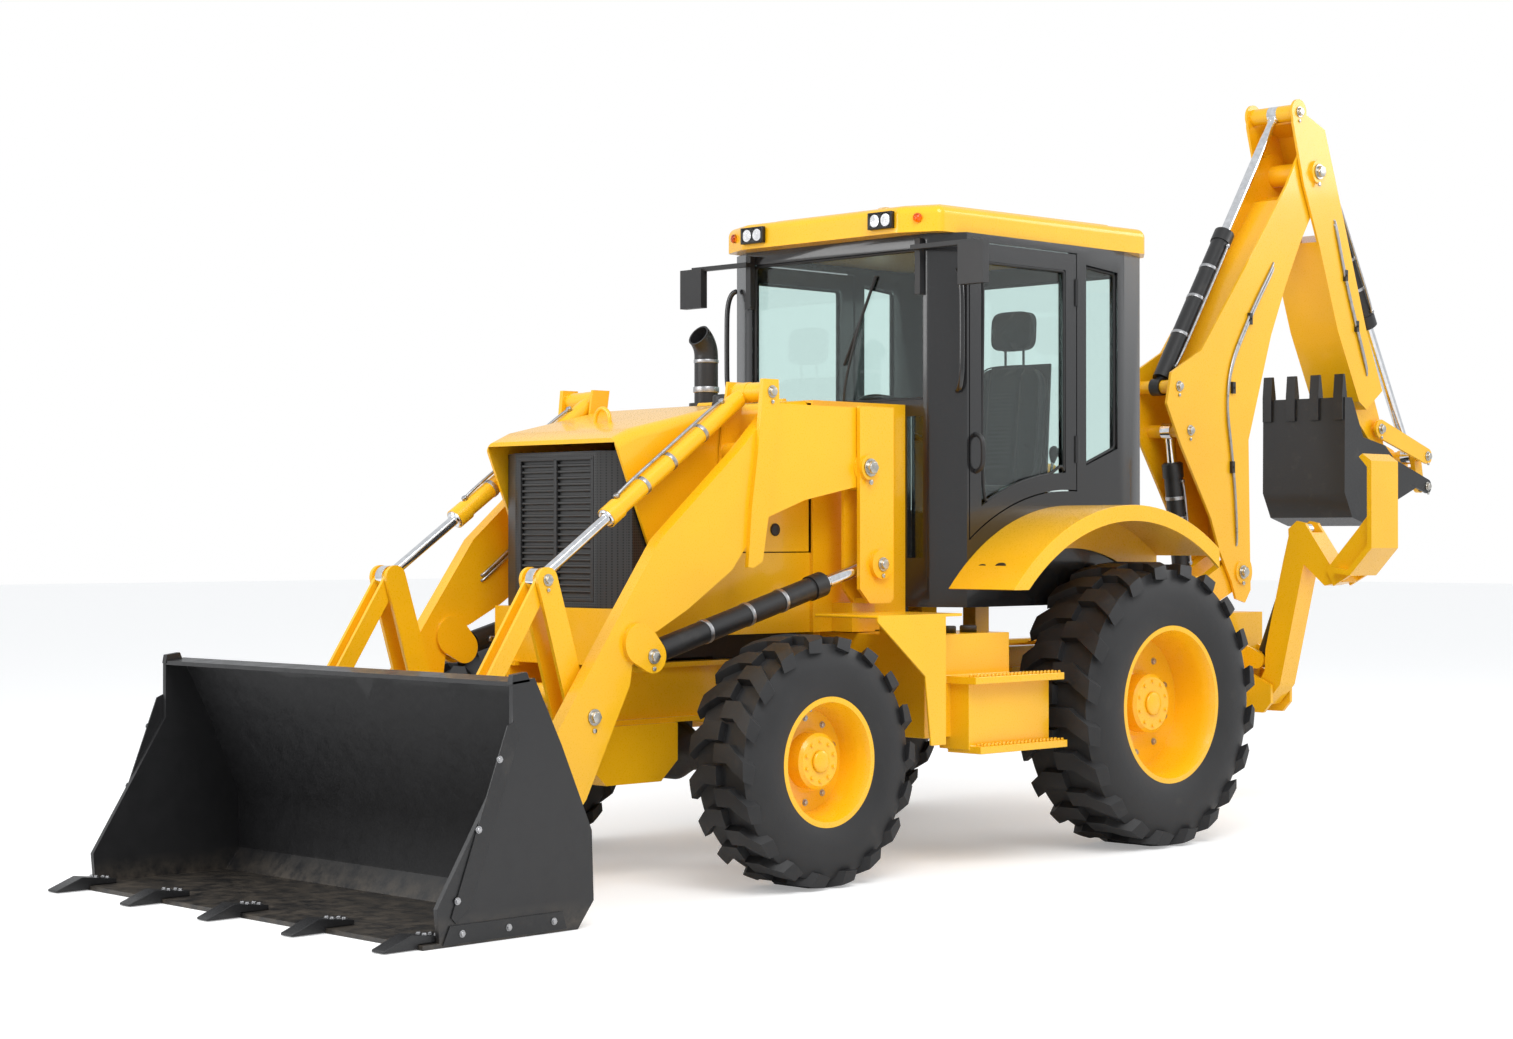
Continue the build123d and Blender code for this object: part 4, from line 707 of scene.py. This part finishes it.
screen = [at(958, y, z) for y, z in ((-516, 1954), (516, 1954), (516, 2596), (-516, 2596))]
pipeRun("screenSeal", roundedLoop(screen, 0.05), 0.008, "hose", "chassis", closed=True)
rearScreen = [at(-424, y, z) for y, z in ((-516, 1484), (516, 1484), (516, 2576), (-516, 2576))]
pipeRun(
    "rearScreenSeal", roundedLoop(rearScreen, 0.05), 0.008, "hose", "chassis",
    closed=True
)
for side, sideName in ((1, "left"), (-1, "right")):
    quarter = [at(x, side * 682, z) for x, z in ((76, 1686), (76, 2574), (-146, 2555), (-146, 1766))]
    pipeRun(
        "quarterSeal_" + sideName, roundedLoop(quarter, 0.04), 0.007, "hose", "chassis",
        closed=True
    )
    lower = [at(x, side * 692, z) for x, z in ((231, 1648), (231, 2541), (801, 2541), (801, 1497))]
    arc = [
        at(x, side * 692, 380 + math.sqrt(1265 ** 2 - (x - 200) ** 2))
        for x in (720, 620, 520, 420, 320)
    ]
    loop = roundedLoop(lower[:3], 0.04) + [lower[3]] + arc
    pipeRun("doorSeal_" + sideName, loop, 0.007, "hose", "door_" + sideName, closed=True)
    grip = [
        at(842, side * 700, 1640), at(842, side * 738, 1650), at(842, side * 742, 1720),
        at(842, side * 738, 1790), at(842, side * 700, 1800)
    ]
    pipeRun("doorGrip_" + sideName, grip, 0.010, "plastic", "door_" + sideName)
    rail = [
        at(930, side * 672, 1985), at(950, side * 712, 1990), at(950, side * 716, 2230),
        at(950, side * 712, 2490), at(930, side * 672, 2495)
    ]
    pipeRun("grabRail_" + sideName, rail, 0.012, "black", "chassis")
    mirrorGlass = bmesh.new()
    rim = roundedLoop(
        [at(1012, side * y, z) for y, z in ((792, 2432), (908, 2432), (908, 2588), (792, 2588))],
        0.018
    )
    face = [mirrorGlass.verts.new(p) for p in rim]
    back = [mirrorGlass.verts.new(p + Vector((0.003, 0, 0))) for p in rim]
    mirrorGlass.faces.new(face)
    mirrorGlass.faces.new(list(reversed(back)))
    for i in range(len(face)):
        j = (i + 1) % len(face)
        mirrorGlass.faces.new((face[i], back[i], back[j], face[j]))
    finishPiece(
        "mirrorGlass_" + sideName, mirrorGlass, "reflector", "chassis", smooth=False
    )
wiper = [at(984, 60, 1932), at(996, 66, 1990), at(984, 110, 2180), at(966, 150, 2330)]
pipeRun("wiperArm", wiper, 0.006, "plastic", "chassis")
pipeRun(
    "wiperBlade", [at(960, 40, 2120), at(962, 150, 2330), at(960, 230, 2500)], 0.007, "hose",
    "chassis"
)
print("cab trim placed")

# lamps: rounded housings, reflectors and lenses, roof markers and the beacon

lampSizes = {"halfWide": 68, "halfHigh": 36, "height": 2717.5, "depth": 0.022, "bowlShift": 32}
halfWide, halfHigh = lampSizes["halfWide"], lampSizes["halfHigh"]
lampCorners = ((-halfWide, -halfHigh), (halfWide, -halfHigh), (halfWide, halfHigh), (-halfWide, halfHigh))
housings = bmesh.new()
bowls = bmesh.new()
lenses = bmesh.new()
markers = bmesh.new()
for side in (1, -1):
    for x, facing, middle in ((1090.3, 1, 390), (-480.3, -1, 420)):
        centre = at(x + facing * 2, side * middle, lampSizes["height"])
        forward = Vector((facing, 0, 0))
        outer = roundedLoop([centre + Vector((0, y / 1000, z / 1000)) for y, z in lampCorners], 0.016)
        inner = [centre + (p - centre) * 0.86 for p in outer]
        depth = forward * lampSizes["depth"]
        rings = [
            outer, [p + depth for p in outer], [p + depth for p in inner],
            [p + depth * 0.35 for p in inner]
        ]
        made = [[housings.verts.new(p) for p in ring] for ring in rings]
        for low, high in zip(made, made[1:]):
            joinRings(housings, low, high)
        housings.faces.new(made[0])
        housings.faces.new(made[-1])
        for shift in (-lampSizes["bowlShift"], lampSizes["bowlShift"]):
            bowl = centre + depth * 0.4 + Vector((0, shift / 1000, 0))
            lathe(
                bowls, [(0.006, 0.0), (0.018, 0.003), (0.026, 0.009), (0.027, 0.010)], bowl,
                forward, 24
            )
        lenses.faces.new([lenses.verts.new(p + depth * 0.86) for p in inner])
    lathe(
        markers, [(0.020, -0.004), (0.020, 0.010), (0.014, 0.018), (0, 0.020)],
        at(1052, side * 556, 2720), (0.86, side * 0.5, 0), 20
    )
lampShell = finishPiece("lampHousings", housings, "plastic", "chassis")
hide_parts("lamps")
finishPiece("lampBowls", bowls, "reflector", "chassis")
finishPiece("lampLenses", lenses, "clear", "chassis", smooth=False)
finishPiece("roofMarkers", markers, "orange", "chassis")
beaconFoot = bmesh.new()
lathe(
    beaconFoot, [(0.060, 0), (0.060, 0.012), (0.054, 0.020), (0.046, 0.022)], at(480, -150, 2797),
    up, 32
)
finishPiece("beaconFoot", beaconFoot, "plastic", "chassis")
dome = bmesh.new()
lathe(
    dome, [(0.048, 0), (0.050, 0.03), (0.045, 0.046), (0.032, 0.056), (0.012, 0.060), (0, 0.060)],
    at(480, -150, 2818), up, 32
)
finishPiece("beaconDome", dome, "clear", "chassis")
print("lamps placed")

# inside the cab: dash, steering wheel, levers and their consoles

inside = {"hub": (560, 0, 1900), "rimRadius": 0.19, "tube": 0.014, "tilt": 28}
dash = bmesh.new()
sidePlate(
    dash,
    ((930, 1105), (930, 1900), (800, 1930), (740, 1880), (770, 1700), (850, 1500), (860, 1105)), 0,
    340
)
sidePlate(dash, ((640, 1850), (560, 1885), (552, 1868), (735, 1760)), 0, 90)
finishPiece("dashConsole", dash, "trim", "chassis", 0.012)
wheelAxis = Vector((-math.sin(math.radians(inside["tilt"])), 0, math.cos(math.radians(inside["tilt"]))))
hubPlace = at(*inside["hub"])
axisUnit, sideUnit, otherUnit = basisFor(wheelAxis)
ringPoints = []
for i in range(24):
    angle = 2 * math.pi * i / 24
    ringPoints.append(
        hubPlace + (sideUnit * math.cos(angle) + otherUnit * math.sin(angle)) * inside["rimRadius"]
    )
pipeRun("steeringRim", ringPoints, inside["tube"], "plastic", "chassis", closed=True)
spokes = bmesh.new()
lathe(
    spokes, [(0.040, -0.05), (0.046, -0.01), (0.040, 0.012), (0.02, 0.018), (0, 0.018)],
    hubPlace - axisUnit * 0.03, axisUnit, 24
)
for turn in (90, 210, 330):
    out = sideUnit * math.cos(math.radians(turn)) + otherUnit * math.sin(math.radians(turn))
    lathe(
        spokes, [(0.012, 0), (0.009, inside["rimRadius"])], hubPlace - axisUnit * 0.025,
        out + axisUnit * 0.1, 12
    )
finishPiece("steeringHub", spokes, "plastic", "chassis")
for index, (x, y, lean) in enumerate(
    ((-330, 150, -40), (-330, -150, -40), (-300, 60, -30), (-300, -60, -30), (230, -380, 40))
):
    foot = at(x, y, 1480)
    top = at(x + lean, y, 1760)
    pipeRun(
        "leverStem" + str(index), [foot, foot.lerp(top, 0.5) + Vector((0.01, 0, 0)), top], 0.007,
        "steel", "chassis"
    )
    knob = bmesh.new()
    lathe(
        knob,
        [(0.008, -0.05), (0.016, -0.03), (0.023, 0), (0.021, 0.02), (0.010, 0.032), (0, 0.034)],
        top, (top - foot), 18
    )
    finishPiece("leverKnob" + str(index), knob, "plastic", "chassis")
consoles = bmesh.new()
sidePlate(consoles, ((-400, 1105), (-400, 1500), (-270, 1520), (-250, 1440), (-290, 1105)), 0, 420)
sidePlate(consoles, ((120, 1105), (120, 1500), (330, 1520), (350, 1450), (300, 1105)), -390, 130)
finishPiece("leverConsoles", consoles, "trim", "chassis", 0.014)
print("cab inside furnished")

# hood: filler cap, lifting loop and side latches; clamps on the exhaust

hoodTrim = {"capX": 1820, "capY": 160, "loopX": 2350}
capSpot = faceOf("hood", at(hoodTrim["capX"], hoodTrim["capY"], farUp), down)
cap = bmesh.new()
lathe(
    cap,
    [
        (0.05, -0.012), (0.05, 0.008), (0.046, 0.010), (0.046, 0.034), (0.040, 0.042),
        (0.012, 0.045), (0, 0.045)
    ],
    capSpot, up, 28
)
finishPiece("hoodCap", cap, "plastic", "hood")
loopSpot = faceOf("hood", at(hoodTrim["loopX"], 0, farUp), down)
loop = [
    loopSpot + Vector((0, y, z)) for y,
    z in ((-0.045, -0.01), (-0.045, 0.035), (0, 0.062), (0.045, 0.035), (0.045, -0.01))
]
pipeRun("liftingLoop", loop, 0.009, "yellow", "hood")
clamp = bmesh.new()
lathe(clamp, [(0.0525, 0), (0.057, 0.003), (0.057, 0.025), (0.0525, 0.028)], at(1480, -300, 1990), up, 32)
lathe(clamp, [(0.0525, 0), (0.055, 0.002), (0.055, 0.014), (0.0525, 0.016)], at(1480, -300, 2120), up, 32)
finishPiece("exhaustClamp", clamp, "steel", "chassis")
latches = bmesh.new()
for side in (1, -1):
    for x in (1760, 2240):
        spot = faceOf("hood", at(x, side * farOut, 1390), (0, -side, 0))
        if spot:
            lathe(
                latches, [(0.026, -0.003), (0.026, 0.005), (0.020, 0.009), (0, 0.009)], spot,
                (0, side, 0), 22
            )
finishPiece("hoodLatches", latches, "plastic", "hood")

# grille: frame and three uprights

frameBars = bmesh.new()
for y in (-222, 0, 222):
    partSlab(frameBars, (2588, 2603), (y - 9, y + 9), (1118, 1672))
for z in (1112, 1672):
    partSlab(frameBars, (2588, 2603), (-232, 232), (z - 8, z + 8))
finishPiece("grilleFrame", frameBars, "plastic", "chassis", 0.003)
print("hood and grille trimmed")

# steps: toothed tread edges on both step plates a side, and the tank caps

stepTrim = {"pitch": 24, "height": 9}
treads = bmesh.new()
for side in (1, -1):
    for lowX, highX, topZ in ((690, 1265, 790), (670, 1235, 505)):
        for row in (1012, 1048):
            x = lowX + 14
            while x + stepTrim["pitch"] < highX - 6:
                foot = [
                    (x, topZ - 1), (x + 18, topZ - 1), (x + 14, topZ + stepTrim["height"]),
                    (x + 4, topZ + stepTrim["height"])
                ]
                sidePlate(treads, foot, side * row, 5)
                x += stepTrim["pitch"]
finishPiece("stepTeeth", treads, "yellow", "chassis")
caps = bmesh.new()
for side in (1, -1):
    for x, radius in ((1010, 0.036), (1130, 0.028)):
        lathe(
            caps, [(radius, 0), (radius, 0.024), (radius * 0.9, 0.030), (0, 0.030)],
            at(x, side * 800, 960), up, 24
        )
finishPiece("tankCaps", caps, "plastic", "chassis")

# rear: lamps on the fenders' tails

tailLamps = bmesh.new()
tailRims = bmesh.new()
for side in (1, -1):
    for y, radius in ((800, 0.030), (900, 0.036)):
        spot = faceOf("rear_fenders", at(-1400, side * y, 1210), (1, 0, 0))
        if spot:
            lathe(
                tailRims, [(radius + 0.006, -0.006), (radius + 0.006, 0.012), (radius, 0.014)],
                spot, (-1, 0, 0), 24
            )
            lathe(
                tailLamps,
                [(radius, 0.010), (radius * 0.94, 0.018), (radius * 0.5, 0.022), (0, 0.023)], spot,
                (-1, 0, 0), 24
            )
finishPiece("tailLampRims", tailRims, "plastic", "chassis")
finishPiece("tailLamps", tailLamps, "orange", "chassis")
print("steps and tail lamps placed")

# seat: crowned cushions with piping and sewn channels, on a pan and a back plate

seatPads = {
    "seatCushion": {
        "middle": (-30, 0, 1537), "half": (222, 222, 56), "lean": 0, "channels": (-0.42, 0.42),
        "fill": 0.7
    },
    "seatBack": {
        "middle": (-214, 0, 1880), "half": (50, 210, 300), "lean": 6, "channels": (-0.45, 0.45),
        "fill": 0.7
    },
    "seatHeadrest": {
        "middle": (-256, 0, 2338), "half": (32, 122, 92), "lean": 3, "channels": (), "fill": 0.75
    },
}
padShape = {
    "cuts": 14, "power": 5.0, "pullIn": 0.035, "voxel": 0.006, "pressure": 4.0, "lastFrame": 20,
    "cap": 0.010, "channelDepth": 0.007, "channelWidth": 0.010, "piping": 0.0035,
    "pipingInset": 0.965, "pipingAt": 0.62
}


def swellPad(piece):
    # air pressure on the remeshed pad, each point held to the cap
    remesh = piece.modifiers.new("evenMesh", "REMESH")
    remesh.mode = "VOXEL"
    remesh.voxel_size = padShape["voxel"]
    graph = bpy.context.evaluated_depsgraph_get()
    even = bpy.data.meshes.new_from_object(piece.evaluated_get(graph))
    piece.modifiers.clear()
    old = piece.data
    piece.data = even
    bpy.data.meshes.remove(old)
    starts = [v.co.copy() for v in even.vertices]
    cloth = piece.modifiers.new("pressure", "CLOTH")
    cloth.settings.use_pressure = True
    cloth.settings.uniform_pressure_force = padShape["pressure"]
    cloth.settings.effector_weights.gravity = 0
    for frameNumber in range(1, padShape["lastFrame"] + 1):
        bpy.context.scene.frame_set(frameNumber)
    graph = bpy.context.evaluated_depsgraph_get()
    swollen = bpy.data.meshes.new_from_object(piece.evaluated_get(graph))
    piece.modifiers.clear()
    for vertex, start, moved in zip(even.vertices, starts, swollen.vertices):
        shift = moved.co - start
        if shift.length > padShape["cap"]:
            shift = shift.normalized() * padShape["cap"]
        vertex.co = start + shift
    bpy.data.meshes.remove(swollen)
    bpy.context.scene.frame_set(1)


for padName, pad in seatPads.items():
    shape = bmesh.new()
    bmesh.ops.create_cube(shape, size=2)
    bmesh.ops.subdivide_edges(shape, edges=shape.edges, cuts=padShape["cuts"], use_grid_fill=True)
    half = Vector(pad["half"]) / 1000
    thin = 2 if half.z < half.x else 0
    power = padShape["power"]
    turn = Matrix.Rotation(-math.radians(pad["lean"]), 3, "Y")
    middle = at(*pad["middle"])
    for vertex in shape.verts:
        p = vertex.co
        p /= (abs(p.x) ** power + abs(p.y) ** power + abs(p.z) ** power) ** (1 / power)
        wide = [1 - padShape["pullIn"] * (1 - abs(p[thin])) if axis != thin else 1 for axis in range(3)]
        vertex.co = Vector((p.x * half.x * wide[0], p.y * half.y * wide[1], p.z * half.z * wide[2]))
    piece = finishPiece(padName, shape, "fabric", "chassis")
    swellPad(piece)
    for vertex in piece.data.vertices:
        for share in pad["channels"]:
            gap = (vertex.co.y - share * half.y) / padShape["channelWidth"]
            front = vertex.co.z > 0 if thin == 2 else vertex.co.x > 0
            if front and abs(gap) < 4:
                drop = padShape["channelDepth"] * math.exp(-gap * gap)
                if thin == 2:
                    vertex.co.z -= drop
                else:
                    vertex.co.x -= drop
    for vertex in piece.data.vertices:
        vertex.co = turn @ vertex.co + middle
    for polygon in piece.data.polygons:
        polygon.use_smooth = True
    spread = [axis for axis in range(3) if axis != thin]
    for edge in (-padShape["pipingAt"], padShape["pipingAt"]):
        line = []
        for step in range(32):
            angle = 2 * math.pi * step / 32
            c, s = math.cos(angle), math.sin(angle)
            size = (abs(c) ** power + abs(s) ** power) ** (1 / power)
            spot = Vector((0, 0, 0))
            spot[spread[0]] = c / size * half[spread[0]] * padShape["pipingInset"]
            spot[spread[1]] = s / size * half[spread[1]] * padShape["pipingInset"]
            spot[thin] = edge * half[thin]
            line.append(turn @ spot + middle)
        pipingName = padName + ("PipingLow" if edge < 0 else "PipingHigh")
        pipeRun(pipingName, line, padShape["piping"], "plastic", "chassis", closed=True)
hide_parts("seat")
seatFrame = bmesh.new()
sidePlate(seatFrame, ((-258, 1474), (196, 1474), (190, 1484), (-250, 1484)), 0, 400)
sidePlate(
    seatFrame, ((-262, 1500), (-286, 1600), (-320, 2180), (-306, 2180), (-270, 1600), (-240, 1500)),
    0, 360
)
for side in (1, -1):
    lathe(seatFrame, [(0.006, 0), (0.006, 0.12)], at(-262, side * 55, 2170), up, 12)
finishPiece("seatPan", seatFrame, "trim", "chassis", 0.004)
print("seat padded")

# steel pipes in clamps along the arms, boom and dipper

pipeSets = {
    "loader_arms": {
        "y": 531, "drop": 22,
        "run": ((1840, 1630), (1940, 1592), (2100, 1512), (2300, 1370), (2540, 1190)),
        "clamps": (1, 2, 3)
    },
    "boom": {
        "y": 139, "drop": 26,
        "run": ((-1900, 1330), (-1870, 1700), (-1780, 2150), (-2020, 2520), (-2240, 2790)),
        "clamps": (1, 2, 3)
    },
    "dipper": {
        "y": 159, "drop": 24, "run": ((-2790, 3060), (-2880, 2780), (-3000, 2500), (-3110, 2260)),
        "clamps": (1, 2)
    },
}
clampHalf = Vector((0.012, 0.0085, 0.030))
for body, spec in pipeSets.items():
    clamps = bmesh.new()
    for side in (1, -1):
        outward = 1 if body == "loader_arms" else -1
        for row in (-1, 1):
            run = [at(x, side * spec["y"], z + row * spec["drop"] / 2) for x, z in spec["run"]]
            stub = Vector((0, side * outward * 9 / 1000, 0))
            pipeRun(
                body + "Pipe_" + str(side) + "_" + str(row),
                [run[0] + stub] + run + [run[-1] + stub], feedPipe, "steel", body
            )
        for index in spec["clamps"]:
            before, middle, after = spec["run"][index - 1:index + 2]
            x, z = (middle[i] * 0.5 + (before[i] + after[i]) * 0.25 for i in (0, 1))
            spot = at(x, side * spec["y"], z)
            slab(clamps, spot - clampHalf, spot + clampHalf)
            hexBolt(
                clamps, spot - Vector((0, side * outward * clampHalf.y, 0)),
                (0, -side * outward, 0), 0.007
            )
    finishPiece(body + "PipeClamps", clamps, "satinBlack", body, 0.002)
print("pipes clamped")

# roof: a raised pressed panel inside the rim

roofRise = {"height": 22, "inset": 0.86, "top": 0.80, "middle": 305, "roofTop": 2775.3}
roofOutline = (
    (1090, -470), (1010, -650), (-340, -710), (-480, -600), (-480, 600), (-340, 710), (1010, 650),
    (1090, 470)
)
panel = bmesh.new()
rings = []
crest = roofRise["roofTop"] + roofRise["height"]
inset, top, middle = roofRise["inset"], roofRise["top"], roofRise["middle"]
for scale, z in ((inset, 2774), (inset - 0.01, 2780), (top + 0.02, crest - 3), (top, crest)):
    rings.append(
        [panel.verts.new(at(middle + (x - middle) * scale, y * scale, z)) for x, y in roofOutline]
    )
for low, high in zip(rings, rings[1:]):
    joinRings(panel, low, high)
panel.faces.new(list(reversed(rings[0])))
panel.faces.new(rings[-1])
finishPiece("roofPanel", panel, "yellow", "chassis", 0.006)
print("roof panel raised")

# floor

floorMesh = bpy.data.meshes.new("studioFloor")
floorMesh.from_pydata(
    [(-60, -60, -0.001), (60, -60, -0.001), (60, 60, -0.001), (-60, 60, -0.001)], [], [(0, 1, 2, 3)]
)
floorObject = bpy.data.objects.new("studioFloor", floorMesh)
bpy.context.scene.collection.objects.link(floorObject)
floorMaterial, floorTree, floorShader = newMaterial("paleFloor")
floorShader.inputs["Base Color"].default_value = grey(studio["floorTone"])
floorShader.inputs["Roughness"].default_value = 0.75
floorShader.inputs["Specular IOR Level"].default_value = 0.15
floorOut = [n for n in floorTree.nodes if n.type == "OUTPUT_MATERIAL"][0]
lift = floorTree.nodes.new("ShaderNodeEmission")
lift.inputs["Color"].default_value = (1, 1, 1, 1)
seen = floorTree.nodes.new("ShaderNodeLightPath")
amount = floorTree.nodes.new("ShaderNodeMath")
amount.operation = "MULTIPLY"
amount.inputs[1].default_value = studio["floorLift"]
floorTree.links.new(seen.outputs["Is Camera Ray"], amount.inputs[0])
floorTree.links.new(amount.outputs[0], lift.inputs["Strength"])
together = floorTree.nodes.new("ShaderNodeAddShader")
floorTree.links.new(floorShader.outputs[0], together.inputs[0])
floorTree.links.new(lift.outputs[0], together.inputs[1])
floorTree.links.new(together.outputs[0], floorOut.inputs["Surface"])
floorMesh.materials.append(floorMaterial)

print("backhoe loader: finished")
